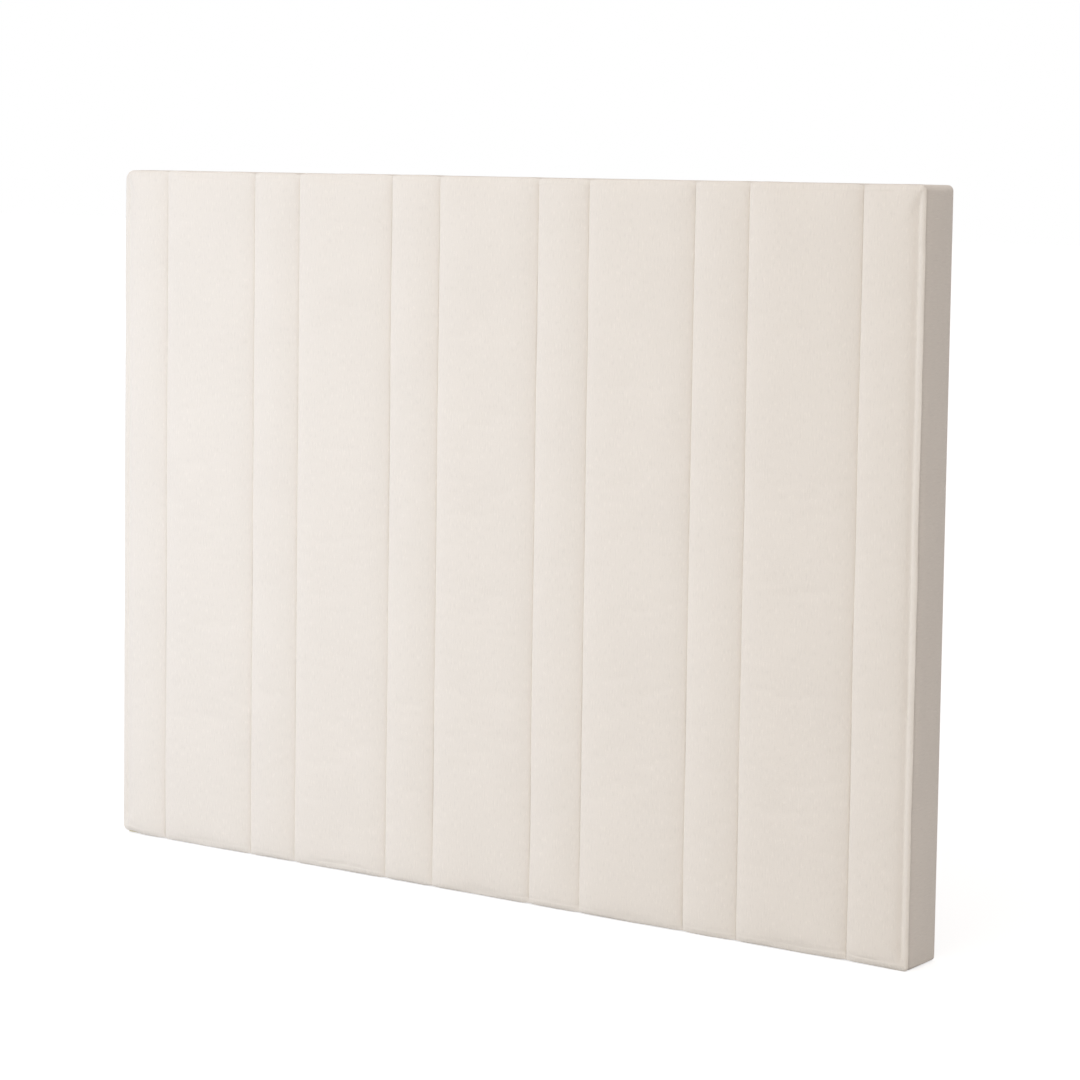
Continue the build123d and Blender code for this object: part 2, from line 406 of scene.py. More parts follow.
class Shade(Nodes):
    """A material's node tree."""

    def __init__(self, name: str) -> None:
        """Starts an empty material with its surface shader.

        Args:
            name: Name of the material.
        """
        self.material = bpy.data.materials.new(name)
        self.material.use_nodes = True
        super().__init__(self.material.node_tree)
        self.surface = self.tree.nodes["Principled BSDF"]

    def place(self) -> Socket:
        """Gives the place on the piece, in metres."""
        return self.node("ShaderNodeTexCoord").outputs["Object"]

    def noise(self, where: object, scale: float, detail: float = 2.0, rough: float = 0.5) -> Socket:
        """Adds smooth noise.

        Args:
            where: Socket with the place.
            scale: Spots per metre.
            detail: How many finer layers it has.
            rough: Strength of the finer layers.

        Returns:
            The noise's socket, from 0 to 1.
        """
        inputs = {"Vector": where, "Scale": scale, "Detail": detail, "Roughness": rough}
        return self.node("ShaderNodeTexNoise", inputs).outputs["Fac"]

    def spread(self, where: object, stretch: Triple) -> Socket:
        """Multiplies a place by one number on each axis."""
        return self.node("ShaderNodeVectorMath", {0: where, 1: stretch}, operation="MULTIPLY").outputs[0]

    def lighten(self, colour: Colour, factor: Socket) -> Socket:
        """Multiplies a colour by one number."""
        return self.node("ShaderNodeVectorMath", {0: colour, "Scale": factor}, operation="SCALE").outputs[0]

    def ease(self, value: object, low: float, high: float, start: float = 0.0, end: float = 1.0) -> Socket:
        """Maps a range of values smoothly onto another, usually from 0 to 1."""
        inputs = {0: value, 1: low, 2: high, 3: start, 4: end}
        return self.node("ShaderNodeMapRange", inputs, interpolation_type="SMOOTHSTEP").outputs[0]

    def finish(self, colour: Socket, rough: Socket, height: Socket, relief: float, **plain: float) -> Finish:
        """Joins colour, roughness and relief to the surface.

        Args:
            colour: The colour's socket.
            rough: The roughness's socket.
            height: Socket with the shape of the relief.
            relief: Height of the relief in metres.
            plain: Values of other inputs, with _ in place of a space.

        Returns:
            The finished material.
        """
        bump = self.node("ShaderNodeBump", {"Height": height, "Distance": relief, "Strength": 1.0})
        self.feed(self.surface.inputs["Base Color"], colour)
        self.feed(self.surface.inputs["Roughness"], rough)
        self.feed(self.surface.inputs["Normal"], bump.outputs[0])
        for label, value in plain.items():
            self.surface.inputs[label.replace("_", " ")].default_value = value
        return self.material


@dataclass(frozen=True)
class ClothFinish:
    """Cream plain-woven cloth with thicker upright yarns here and there."""

    colour: Colour = (0.838, 0.783, 0.716)
    yarn_pitch: float = 0.0012
    yarn_height: float = 0.00022
    yarn_drift: float = 3.0
    drift_spots: Triple = (220.0, 60.0, 1.0)
    slub_width: float = 0.0026
    slub_length: float = 0.012
    slub_tone: float = 0.045
    thick_range: tuple[float, float] = (0.60, 0.74)
    thin_range: tuple[float, float] = (0.26, 0.44)
    thin_share: float = 0.8
    cloud_tone: float = 0.048
    cloud_size: float = 0.12
    grain_tone: float = 0.06
    weave_tone: float = 0.02
    roughness: float = 0.92
    sheen: float = 0.12
    sheen_roughness: float = 0.6
    gloss: float = 0.25

    def build(self, name: str) -> Finish:
        """Builds the material.

        Args:
            name: Name of the material.

        Returns:
            The finished material.
        """
        shade = Shade(name)
        lengths = shade.node("ShaderNodeUVMap", uv_map="cloth_lengths").outputs[0]
        apart = shade.node("ShaderNodeSeparateXYZ", {0: lengths})
        drift = shade.noise(shade.spread(lengths, self.drift_spots), 1.0)
        drift = shade.math("MULTIPLY", drift, self.yarn_drift)
        turn = 2.0 * math.pi / self.yarn_pitch
        yarns = [shade.math("MULTIPLY_ADD", apart.outputs[axis], turn, drift) for axis in (0, 1)]
        weave = shade.math("MULTIPLY", *(shade.math("SINE", yarn) for yarn in yarns))
        slub_place = shade.spread(lengths, (1.0 / self.slub_width, 1.0 / self.slub_length, 1.0))
        slub = shade.noise(slub_place, 1.0, 1.0, 0.4)
        thick = shade.ease(slub, *self.thick_range)
        thin = shade.ease(slub, *self.thin_range, 1.0, 0.0)
        cloud = shade.math("SUBTRACT", shade.noise(lengths, 1.0 / self.cloud_size, 3.0), 0.5)
        grain = shade.noise(lengths, 1.0 / self.yarn_pitch, 1.0)
        lightness = shade.math("MULTIPLY_ADD", thick, self.slub_tone, 1.0)
        lightness = shade.math("MULTIPLY_ADD", thin, -self.slub_tone * self.thin_share, lightness)
        lightness = shade.math("MULTIPLY_ADD", cloud, self.cloud_tone, lightness)
        lightness = shade.math("MULTIPLY_ADD", shade.math("SUBTRACT", grain, 0.5), self.grain_tone, lightness)
        lightness = shade.math("MULTIPLY_ADD", weave, self.weave_tone, lightness)
        rough = shade.math("MULTIPLY_ADD", grain, 0.06, self.roughness - 0.03)
        height = shade.math("MULTIPLY_ADD", thick, 0.9, shade.math("MULTIPLY", weave, 0.5))
        height = shade.math("MULTIPLY_ADD", grain, 0.5, height)
        colour = shade.lighten(self.colour, lightness)
        plain = {"Sheen_Weight": self.sheen, "Sheen_Roughness": self.sheen_roughness}
        plain["Specular_IOR_Level"] = self.gloss
        return shade.finish(colour, rough, height, self.yarn_height, **plain)


@dataclass(frozen=True)
class SpunFinish:
    """Thin non-woven cloth, pressed together at small points."""

    colour: Colour = (0.022, 0.022, 0.024)
    point_pitch: float = 0.0022
    fibre_size: float = 0.0006
    relief: float = 0.00012
    roughness: float = 0.78
    gloss: float = 0.35
    slant: float = 45.0
    point_range: tuple[float, float] = (0.35, 0.8)

    def build(self, name: str) -> Finish:
        """Builds the material.

        Args:
            name: Name of the material.

        Returns:
            The finished material.
        """
        shade = Shade(name)
        place = shade.place()
        slanted = {"Vector": place, "Rotation": (0.0, math.radians(self.slant), 0.0)}
        turned = shade.node("ShaderNodeMapping", slanted).outputs[0]
        cells = shade.node("ShaderNodeSeparateXYZ", {0: turned})
        turn = 2.0 * math.pi / self.point_pitch
        rows = [shade.math("MULTIPLY", cells.outputs[axis], turn) for axis in (0, 2)]
        dots = shade.math("MULTIPLY", *(shade.math("SINE", row) for row in rows))
        dots = shade.ease(dots, *self.point_range)
        fibres = shade.noise(place, 1.0 / self.fibre_size, 3.0, 0.7)
        cloud = shade.noise(place, 14.0, 3.0)
        light = shade.math("MULTIPLY_ADD", fibres, 0.6, shade.math("MULTIPLY_ADD", cloud, 0.5, 0.45))
        light = shade.math("MULTIPLY_ADD", dots, -0.3, light)
        rough = shade.math("MULTIPLY_ADD", dots, -0.25, self.roughness)
        height = shade.math("MULTIPLY_ADD", dots, -0.8, fibres)
        colour = shade.lighten(self.colour, light)
        return shade.finish(colour, rough, height, self.relief, Specular_IOR_Level=self.gloss)


@dataclass(frozen=True)
class FoamFinish:
    """Open-cell foam or wadding, with a fine broken surface."""

    colour: Colour
    cell_size: float
    relief: float

    def build(self, name: str) -> Finish:
        """Builds the material.

        Args:
            name: Name of the material.

        Returns:
            The finished material.
        """
        shade = Shade(name)
        place = shade.place()
        spacing = {"Vector": place, "Scale": 1.0 / self.cell_size}
        cells = shade.node("ShaderNodeTexVoronoi", spacing).outputs[0]
        cloud = shade.noise(place, 25.0, 4.0)
        share = shade.ease(shade.math("MULTIPLY_ADD", cloud, 0.5, cells), 0.2, 1.0)
        colour = shade.blend(share, tone(self.colour, 0.78), tone(self.colour, 1.05))
        return shade.finish(colour, shade.math("MULTIPLY_ADD", cloud, 0.1, 0.85), cells, self.relief)


@dataclass(frozen=True)
class PineFinish:
    """Planed pine with long, uneven grain."""

    light: Colour = (0.62, 0.44, 0.25)
    dark: Colour = (0.40, 0.24, 0.11)
    ring_gap: float = 0.006
    fibre_spots: float = 900.0
    relief: float = 0.0002

    def build(self, name: str, upright: bool) -> Finish:
        """Builds the material.

        Args:
            name: Name of the material.
            upright: True where the grain runs up, False where it runs across.

        Returns:
            The finished material.
        """
        shade = Shade(name)
        place = shade.place()
        stretch = (1.0, 1.0, 0.05) if upright else (0.05, 1.0, 1.0)
        along = shade.spread(place, stretch)
        wobble = shade.noise(along, 18.0, 3.0)
        spacing = {"Vector": along, "Scale": 0.32 / self.ring_gap, "Distortion": 7.0}
        bands = {"wave_type": "BANDS", "bands_direction": "Y", "wave_profile": "SAW"}
        rings = shade.node("ShaderNodeTexWave", spacing | {"Detail": 2.0, "Detail Scale": 1.4}, **bands)
        rings = rings.outputs["Fac"]
        fibres = shade.noise(shade.spread(place, tuple(self.fibre_spots * s for s in stretch)), 1.0, 3.0, 0.6)
        share = shade.math("MULTIPLY_ADD", fibres, 0.35, shade.math("MULTIPLY_ADD", wobble, 0.4, -0.3))
        share = shade.ease(shade.math("ADD", share, shade.math("MULTIPLY", rings, 0.7)), 0.0, 1.0)
        colour = shade.blend(share, tone(self.light), tone(self.dark))
        rough = shade.math("MULTIPLY_ADD", fibres, 0.2, 0.5)
        return shade.finish(colour, rough, shade.math("MULTIPLY_ADD", rings, 0.5, fibres), self.relief)


@dataclass(frozen=True)
class PlywoodFinish:
    """Thin plywood with a plain face veneer and thin plies at its edges."""

    light: Colour = (0.60, 0.46, 0.30)
    dark: Colour = (0.42, 0.29, 0.17)
    ply: float = 0.00135
    figure_spots: Triple = (14.0, 14.0, 1.2)
    fibre_spots: Triple = (1400.0, 1400.0, 50.0)
    relief: float = 0.0001

    def build(self, name: str) -> Finish:
        """Builds the material.

        Args:
            name: Name of the material.

        Returns:
            The finished material.
        """
        shade = Shade(name)
        place = shade.place()
        figure = shade.noise(shade.spread(place, self.figure_spots), 1.0, 4.0, 0.6)
        fibres = shade.noise(shade.spread(place, self.fibre_spots), 1.0, 2.0)
        depth = shade.node("ShaderNodeSeparateXYZ", {0: place}).outputs[1]
        plies = shade.math("SINE", shade.math("MULTIPLY", depth, 2.0 * math.pi / (2.0 * self.ply)))
        share = shade.math("MULTIPLY_ADD", fibres, 0.3, shade.math("MULTIPLY_ADD", plies, 0.12, figure))
        colour = shade.blend(shade.ease(share, 0.3, 1.0), tone(self.light), tone(self.dark))
        return shade.finish(colour, shade.math("MULTIPLY_ADD", fibres, 0.15, 0.55), fibres, self.relief)


@dataclass(frozen=True)
class SteelFinish:
    """Steel wire or zinc-plated steel, with a fine uneven sheen."""

    colour: Colour
    roughness: float
    spot_size: float
    relief: float = 0.00003

    def build(self, name: str) -> Finish:
        """Builds the material.

        Args:
            name: Name of the material.

        Returns:
            The finished material.
        """
        shade = Shade(name)
        place = shade.place()
        cells = {"Vector": place, "Scale": 1.0 / self.spot_size}
        spots = shade.node("ShaderNodeTexVoronoi", cells).outputs["Color"]
        cloud = shade.noise(place, 0.3 / self.spot_size, 3.0)
        share = shade.math("MULTIPLY_ADD", spots, 0.5, shade.math("MULTIPLY", cloud, 0.5))
        colour = shade.blend(share, tone(self.colour, 0.85), tone(self.colour, 1.08))
        rough = shade.math("MULTIPLY_ADD", cloud, 0.16, self.roughness - 0.08)
        return shade.finish(colour, rough, cloud, self.relief, Metallic=1.0)


class Tree(Nodes):
    """A geometry tree with named inputs, built in code."""

    def __init__(self, name: str, numbers: dict[str, float], objects: tuple[str, ...] = ()) -> None:
        """Starts a tree with a shape, sizes and a finish as its inputs.

        Args:
            name: Name of the tree.
            numbers: Each size's name and its usual value.
            objects: Names of the inputs that take an object.
        """
        super().__init__(bpy.data.node_groups.new(name, "GeometryNodeTree"))
        face = self.tree.interface
        face.new_socket("Shape", in_out="INPUT", socket_type="NodeSocketGeometry")
        for label, value in numbers.items():
            kind = "NodeSocketInt" if isinstance(value, int) else "NodeSocketFloat"
            face.new_socket(label, in_out="INPUT", socket_type=kind).default_value = value
        for label in objects:
            face.new_socket(label, in_out="INPUT", socket_type="NodeSocketObject")
        face.new_socket("Finish", in_out="INPUT", socket_type="NodeSocketMaterial")
        face.new_socket("Shape", in_out="OUTPUT", socket_type="NodeSocketGeometry")
        self.inputs = self.tree.nodes.new("NodeGroupInput").outputs

    def named(self, label: str) -> Socket:
        """Reads each point's number by its name."""
        return self.node("GeometryNodeInputNamedAttribute", {"Name": label}, data_type="FLOAT").outputs[0]

    def lean(self) -> Socket:
        """Gives each copy a small random turn of its own.

        Returns:
            The turn's socket, in radians.
        """
        low = self.math("MULTIPLY", self.inputs["Slant"], -1.0)
        limits = {2: low, 3: self.inputs["Slant"], "Seed": self.inputs["Seed"]}
        return self.node("FunctionNodeRandomValue", limits, data_type="FLOAT").outputs[1]

    def repeat(self, points: Socket, label: str, turn: Socket | None = None) -> bpy.types.GeometryNodeTree:
        """Puts a copy of an object on every point and ends the tree.

        Args:
            points: Socket with the points.
            label: Name of the input that takes the object.
            turn: Socket with the turn of each copy, where it has one.

        Returns:
            The finished tree.
        """
        info = self.node("GeometryNodeObjectInfo", {"Object": self.inputs[label]})
        inputs = {"Points": points, "Instance": info.outputs["Geometry"]}
        if turn is not None:
            inputs["Rotation"] = turn
        return self.close(self.node("GeometryNodeInstanceOnPoints", inputs).outputs[0])

    def close(self, shape: Socket) -> bpy.types.GeometryNodeTree:
        """Ends the tree with real meshes and their finish.

        Args:
            shape: The socket of the finished shape.

        Returns:
            The finished tree.
        """
        real = self.node("GeometryNodeRealizeInstances", {0: shape}).outputs[0]
        dressed = self.node("GeometryNodeSetMaterial", {"Geometry": real, "Material": self.inputs["Finish"]})
        self.node("NodeGroupOutput", {0: dressed.outputs[0]})
        return self.tree


def grow(piece: Piece, tree: bpy.types.GeometryNodeTree, values: dict[str, object]) -> None:
    """Runs a geometry tree on a piece and keeps the result as its plain mesh.

    Args:
        piece: The piece that holds the tree's starting shape.
        tree: The geometry tree.
        values: Value of each named input.
    """
    modifier = piece.modifiers.new("grow", "NODES")
    modifier.node_group = tree
    for item in tree.interface.items_tree:
        if item.item_type == "SOCKET" and item.in_out == "INPUT" and item.name in values:
            modifier[item.identifier] = values[item.name]
    apply_modifiers(piece)


@dataclass(frozen=True)
class Outline:
    """Front outline of the board, with its rounded corners."""

    width: float = 1.6
    height: float = 1.2
    radii: dict = field(
        default_factory=lambda: {
            Corner.TOP_LEFT: 0.019,
            Corner.TOP_RIGHT: 0.009,
            Corner.BOTTOM_LEFT: 0.011,
            Corner.BOTTOM_RIGHT: 0.007,
        }
    )
    corner_reach: float = 2.4
    bend_count: int = 12
    lift_height: float = 0.0045
    lift_length: float = 0.05
    lift_zone: tuple[float, float] = (-0.03, 0.02)
    notch: float = 0.0020
    notch_width: float = 0.009
    low_share: float = 0.6
    top_rise: float = 0.0006
    waver: float = 0.0009
    waver_lengths: Triple = (0.07, 0.055, 0.09)
    edge_outer: float = 0.004
    edge_inner: float = 0.03
    end_zone: float = 0.05
    corner_zone: float = 0.06
    front_zone: tuple[float, float] = (-0.036, 0.030)

    def quarters(self, x: np.ndarray, z: np.ndarray) -> Iterator[tuple]:
        """Takes the quarters of the board in turn.

        Args:
            x: Places across.
            z: Places up.

        Yields:
            The corner's side and level, its radius, which points lie in its quarter, and how far these
            lie outwards of the middle of its arc, across and up.
        """
        for corner, radius in self.radii.items():
            side, level = corner.value
            mine = (np.sign(x + TINY) == side) & (np.sign(z - self.height / 2 + TINY) == level)
            a = np.abs(x[mine]) - (self.width / 2 - radius)
            b = np.abs(z[mine] - self.height / 2) - (self.height / 2 - radius)
            yield side, level, radius, mine, a, b

    def edge_distance(self, x: np.ndarray, z: np.ndarray) -> np.ndarray:
        """Measures how far inside the outline each point lies.

        Args:
            x: Places across.
            z: Places up.

        Returns:
            The distance from each point to the outline.
        """
        result = np.empty_like(x)
        for _, _, radius, mine, a, b in self.quarters(x, z):
            outside = np.hypot(np.maximum(a, 0.0), np.maximum(b, 0.0))
            result[mine] = radius - outside - np.minimum(np.maximum(a, b), 0.0)
        return result

    def keep_inside(self, x: np.ndarray, z: np.ndarray, depth: np.ndarray) -> tuple[np.ndarray, np.ndarray]:
        """Moves in the points that lie closer to the outline than a given depth.

        Args:
            x: Places across.
            z: Places up.
            depth: How far inside the outline each point has to be.

        Returns:
            The new places across and up.
        """
        x, z = x.copy(), z.copy()
        for side, level, radius, mine, a, b in self.quarters(x, z):
            limit = radius - depth[mine]
            bent = (a > 0.0) & (b > 0.0)
            share = np.where(bent, np.minimum(1.0, limit / np.maximum(np.hypot(a, b), TINY)), 1.0)
            a = np.where(bent, a * share, np.minimum(a, limit))
            b = np.where(bent, b * share, np.minimum(b, limit))
            x[mine] = side * (self.width / 2 - radius + a)
            z[mine] = self.height / 2 + level * (self.height / 2 - radius + b)
        return x, z

    def squeeze(self, x: np.ndarray, z: np.ndarray) -> tuple[np.ndarray, np.ndarray]:
        """Moves the points of a square-cornered grid into the rounded corners.

        Args:
            x: Places across.
            z: Places up.

        Returns:
            The new places across and up.
        """
        x, z = x.copy(), z.copy()
        for corner, radius in self.radii.items():
            side, level = corner.value
            reach = self.corner_reach * radius
            a = (side * x - (self.width / 2 - reach)) / reach
            b = (level * (z - self.height / 2) - (self.height / 2 - reach)) / reach
            near = (a > 0) & (b > 0)
            a, b = a[near], b[near]
            size = np.maximum(a, b)
            share = np.minimum(a, b) / size
            arc = radius / reach
            straight = 1.0 - arc
            turn = straight / (straight + arc * math.pi / 4)
            angle = np.clip((share - turn) / (1.0 - turn), 0.0, 1.0) * math.pi / 4
            long_way = np.where(share < turn, 1.0, straight + arc * np.cos(angle)) * size
            short_way = np.where(share < turn, share / turn * straight, straight + arc * np.sin(angle)) * size
            new_a = np.where(a >= b, long_way, short_way)
            new_b = np.where(a >= b, short_way, long_way)
            x[near] = side * (self.width / 2 - reach + new_a * reach)
            z[near] = level * (self.height / 2 - reach + new_b * reach) + self.height / 2
        return x, z

    def straight(self, start: tuple, end: tuple, way: tuple, step: float) -> list[tuple]:
        """Spaces stations evenly from a start up to, but not with, an end.

        Args:
            start: The first station, across and up.
            end: Where the line ends, across and up.
            way: The outward direction.
            step: Longest distance between two stations.

        Returns:
            Each station's place and outward direction.
        """
        count = max(2, math.ceil(math.dist(start, end) / step))
        shares = [number / count for number in range(count)]
        run, rise = end[0] - start[0], end[1] - start[1]
        return [(start[0] + run * t, start[1] + rise * t, *way) for t in shares]

    def bend(self, corner: Corner, first: float, last: float) -> list[tuple]:
        """Spaces stations over a rounded corner.

        Args:
            corner: The corner.
            first: Angle of the first station, in degrees.
            last: Angle at which the corner ends, in degrees.

        Returns:
            Each station's place and outward direction.
        """
        side, level = corner.value
        radius = self.radii[corner]
        x, z = side * (self.width / 2 - radius), self.height / 2 + level * (self.height / 2 - radius)
        stations = []
        for number in range(self.bend_count):
            angle = math.radians(first + (last - first) * number / self.bend_count)
            way = (math.cos(angle), math.sin(angle))
            stations.append((x + radius * way[0], z + radius * way[1], *way))
        return stations

    def round_loop(self, step: float, turned: float) -> tuple[np.ndarray, np.ndarray]:
        """Follows the outline from the bottom, up the left side, over the top and down the right side.

        Args:
            step: Longest distance between two stations.
            turned: Length at each end that lies along the bottom.

        Returns:
            The stations' places, and their outward directions, one row each.
        """
        half, high = self.width / 2, self.height
        order = (Corner.BOTTOM_LEFT, Corner.TOP_LEFT, Corner.TOP_RIGHT, Corner.BOTTOM_RIGHT)
        low_left, top_left, top_right, low_right = (self.radii[corner] for corner in order)
        stations = [
            *self.straight((turned - half, 0.0), (low_left - half, 0.0), (0.0, -1.0), step),
            *self.bend(Corner.BOTTOM_LEFT, 270.0, 180.0),
            *self.straight((-half, low_left), (-half, high - top_left), (-1.0, 0.0), step),
            *self.bend(Corner.TOP_LEFT, 180.0, 90.0),
            *self.straight((top_left - half, high), (half - top_right, high), (0.0, 1.0), step),
            *self.bend(Corner.TOP_RIGHT, 90.0, 0.0),
            *self.straight((half, high - top_right), (half, low_right), (1.0, 0.0), step),
            *self.bend(Corner.BOTTOM_RIGHT, 0.0, -90.0),
            *self.straight((half - low_right, 0.0), (half - turned, 0.0), (0.0, -1.0), step),
            (half - turned, 0.0, 0.0, -1.0),
        ]
        table = np.array(stations)
        return table[:, :2], table[:, 2:]

    def loosen(self, points: np.ndarray, seams: list[float]) -> np.ndarray:
        """Pulls the edges in a little at the seams and lets them swell and waver between.

        Args:
            points: One row of x, y and z for each point.
            seams: Places of the seams across.

        Returns:
            The moved points.
        """
        moved = points.copy()
        x, y, z = points.T
        half, high = self.width / 2, self.height
        top_wave, low_wave, side_wave = self.waver_lengths
        near_front = 1.0 - smooth(*self.front_zone, y)
        pulled = sum(np.exp(-(((x - seam) / self.notch_width) ** 2)) for seam in seams)
        ends = smooth(0.0, self.end_zone, half - np.abs(x))
        top = smooth(high - self.edge_inner, high - self.edge_outer, z) * near_front * ends
        low = (1.0 - smooth(self.edge_outer, self.edge_inner, z)) * near_front * ends
        drift = self.waver * waves(x, top_wave, SEED + 61)
        moved[:, 2] += top * (self.top_rise - self.notch * pulled + drift)
        drift = self.waver * (1.0 + waves(x, low_wave, SEED + 62))
        moved[:, 2] += low * (self.low_share * self.notch * pulled + drift)
        beside = smooth(half - self.edge_inner, half - self.edge_outer, np.abs(x)) * near_front
        beside *= smooth(0.0, self.corner_zone, z) * (1.0 - smooth(high - self.corner_zone, high, z))
        drift = self.waver * waves(z + 3.0 * np.sign(x), side_wave, SEED + 63)
        moved[:, 0] += np.sign(x) * beside * drift
        return moved

    def draw_up(self, points: np.ndarray) -> np.ndarray:
        """Lifts the cloth a little at the bottom left corner, where it is drawn up.

        Args:
            points: One row of x, y and z for each point.

        Returns:
            The moved points.
        """
        moved = points.copy()
        left = -self.width / 2
        along = 1.0 - smooth(left + 0.4 * self.lift_length, left + self.lift_length, points[:, 0])
        low = 1.0 - smooth(0.0, self.corner_zone, points[:, 2])
        front = 1.0 - smooth(*self.lift_zone, points[:, 1])
        moved[:, 2] += self.lift_height * along * low * front
        return moved


@dataclass
class QuiltedFace:
    """The padded face: a row of sewn channels, wide and narrow in turn."""

    outline: Outline
    finish: Finish
    wide_channel: float = 0.199
    narrow_channel: float = 0.0995
    edge_channel: float = 0.1035
    wide_count: int = 5
    back: float = -0.038
    seam_height: float = 0.0030
    crease: float = 0.0008
    crease_width: float = 0.0012
    fold: float = 0.0058
    fold_width: float = 0.0150
    crown: float = 0.0016
    shoulder: float = 0.06
    sharpness: float = 2.0
    edge_fall: float = 0.92
    edge_width: float = 0.013
    level_change: float = -0.55
    level_roll: float = 0.0085
    level_zone: float = 0.028
    ridge: float = 0.0010
    roll: float = 0.0055
    roll_start: float = 0.0028
    roll_lines: int = 8
    wall_inset: float = 0.0026
    wall_reach: float = 3.0
    wall_spread: float = 0.004
    groove_inset: float = 0.0115
    groove_depth: float = 0.0012
    groove_width: float = 0.0013
    groove_drift: float = 0.0012
    groove_lengths: tuple[float, float] = (0.06, 0.21)
    groove_fade: tuple[float, float] = (-0.25, 0.35)
    groove_least: float = 0.25
    side_zone: float = 0.05
    calm_edge: float = 0.004
    seam_wander: float = 0.0007
    wander_length: float = 0.23
    seam_offset: float = -0.004
    unevenness: float = 0.0007
    uneven_lengths: tuple[float, float] = (0.09, 0.16)
    tuck_height: float = 0.00075
    tuck_pitch: float = 0.017
    tuck_length: float = 0.11
    tuck_reach: float = 0.011
    tuck_start: float = 0.0016
    row_step: float = 0.004
    coarse_step: float = 0.0085
    seam_lines: tuple = (0.0, 0.0006, 0.0014, 0.0024, 0.0036, 0.005, 0.0067, 0.0088, 0.0112, 0.014, 0.0172)
    inner_lines: tuple = (0.001, 0.0018, 0.0026, 0.0036, 0.005, 0.007)
    dome_share: float = 0.1
    dome_rows: int = 8
    fold_share: float = 0.3
    swell_limit: float = 0.004
    swell_frames: int = 20
    tension: float = 60.0
    bending: float = 2.0
    pressure: float = 4.0
    slack: float = 0.004
    cloth_mass: float = 0.3
    cloth_quality: int = 5
    tree: bpy.types.GeometryNodeTree = field(init=False)
    edges: list = field(init=False)

    def __post_init__(self) -> None:
        """Works out where the seams stand and builds the tree that forms a channel."""
        inner = [self.wide_channel, self.narrow_channel] * self.wide_count
        self.edges = [-self.outline.width / 2]
        for width in (self.edge_channel, *inner[:-1], self.edge_channel):
            self.edges.append(self.edges[-1] + width)
        self.edges[1:-1] = [edge + self.seam_offset for edge in self.edges[1:-1]]
        self.tree = self.form_tree()

    @property
    def count(self) -> int:
        """Gives the number of channels."""
        return len(self.edges) - 1

    def sizes(self) -> dict[str, float]:
        """Gives the tree's sizes by the names of its inputs.

        Returns:
            Each input's name and value.
        """
        fields = ["seam_height", "crease", "crease_width", "fold", "fold_width", "crown", "shoulder"]
        fields += ["sharpness", "edge_fall", "edge_width", "level_change", "level_roll", "groove_inset"]
        fields += ["ridge", "roll", "roll_start"]
        return {name.replace("_", " ").capitalize(): getattr(self, name) for name in fields}

    def form_tree(self) -> bpy.types.GeometryNodeTree:
        """Builds the tree that pushes a flat channel out to its padded shape.

        Returns:
            The finished tree.
        """
        made = Tree("channel_form", self.sizes())
        size = made.inputs
        do = made.math
        from_seam, from_edge, front, level = map(made.named, ("from_seam", "from_edge", "front", "level"))
        upright = do("SUBTRACT", 1.0, level)

        def settle(away: Socket, width: Socket) -> Socket:
            """Rises from 0 at no distance towards 1 within a few times a width."""
            return do("SUBTRACT", 1.0, do("EXPONENT", do("MULTIPLY", do("DIVIDE", away, width), -1.0)))

        reach = do("MINIMUM", do("DIVIDE", from_seam, size["Shoulder"]), 1.0)
        fallen = do("POWER", do("SUBTRACT", 1.0, reach), size["Sharpness"])
        height = do("MULTIPLY_ADD", do("SUBTRACT", 1.0, fallen), size["Crown"], size["Seam height"])
        for label in ("Crease", "Fold"):
            height = do("MULTIPLY_ADD", settle(from_seam, size[f"{label} width"]), size[label], height)
        inset = do("MULTIPLY", size["Groove inset"], upright)
        beyond = do("MAXIMUM", do("SUBTRACT", from_edge, inset), 0.0)
        fallen = do("SUBTRACT", settle(beyond, size["Edge width"]), 1.0)
        fall = do("MULTIPLY", size["Edge fall"], do("MULTIPLY_ADD", level, size["Level change"], 1.0))
        kept = do("MULTIPLY_ADD", fallen, fall, 1.0)
        lifted = do("MULTIPLY", do("SUBTRACT", height, size["Roll start"]), kept)
        over = do("MINIMUM", do("DIVIDE", from_edge, size["Groove inset"]), 1.0)
        welt = do("SINE", do("MULTIPLY", over, math.pi))
        lifted = do("MULTIPLY_ADD", welt, do("MULTIPLY", size["Ridge"], upright), lifted)
        height = do("ADD", lifted, size["Roll start"])
        roll = do("MULTIPLY_ADD", level, size["Level roll"], size["Roll"])
        rest = do("SUBTRACT", 1.0, do("MINIMUM", do("DIVIDE", from_edge, roll), 1.0))
        bow = do("SQRT", do("SUBTRACT", 1.0, do("MULTIPLY", rest, rest)))
        height = do("MINIMUM", height, do("MULTIPLY_ADD", bow, lifted, size["Roll start"]))
        height = do("MAXIMUM", height, 0.5 * self.seam_height)
        push = do("MULTIPLY", do("MULTIPLY", height, front), -1.0)
        offset = made.node("ShaderNodeCombineXYZ", {1: push}).outputs[0]
        moved = made.node("GeometryNodeSetPosition", {"Geometry": size["Shape"], "Offset": offset})
        return made.close(moved.outputs[0])

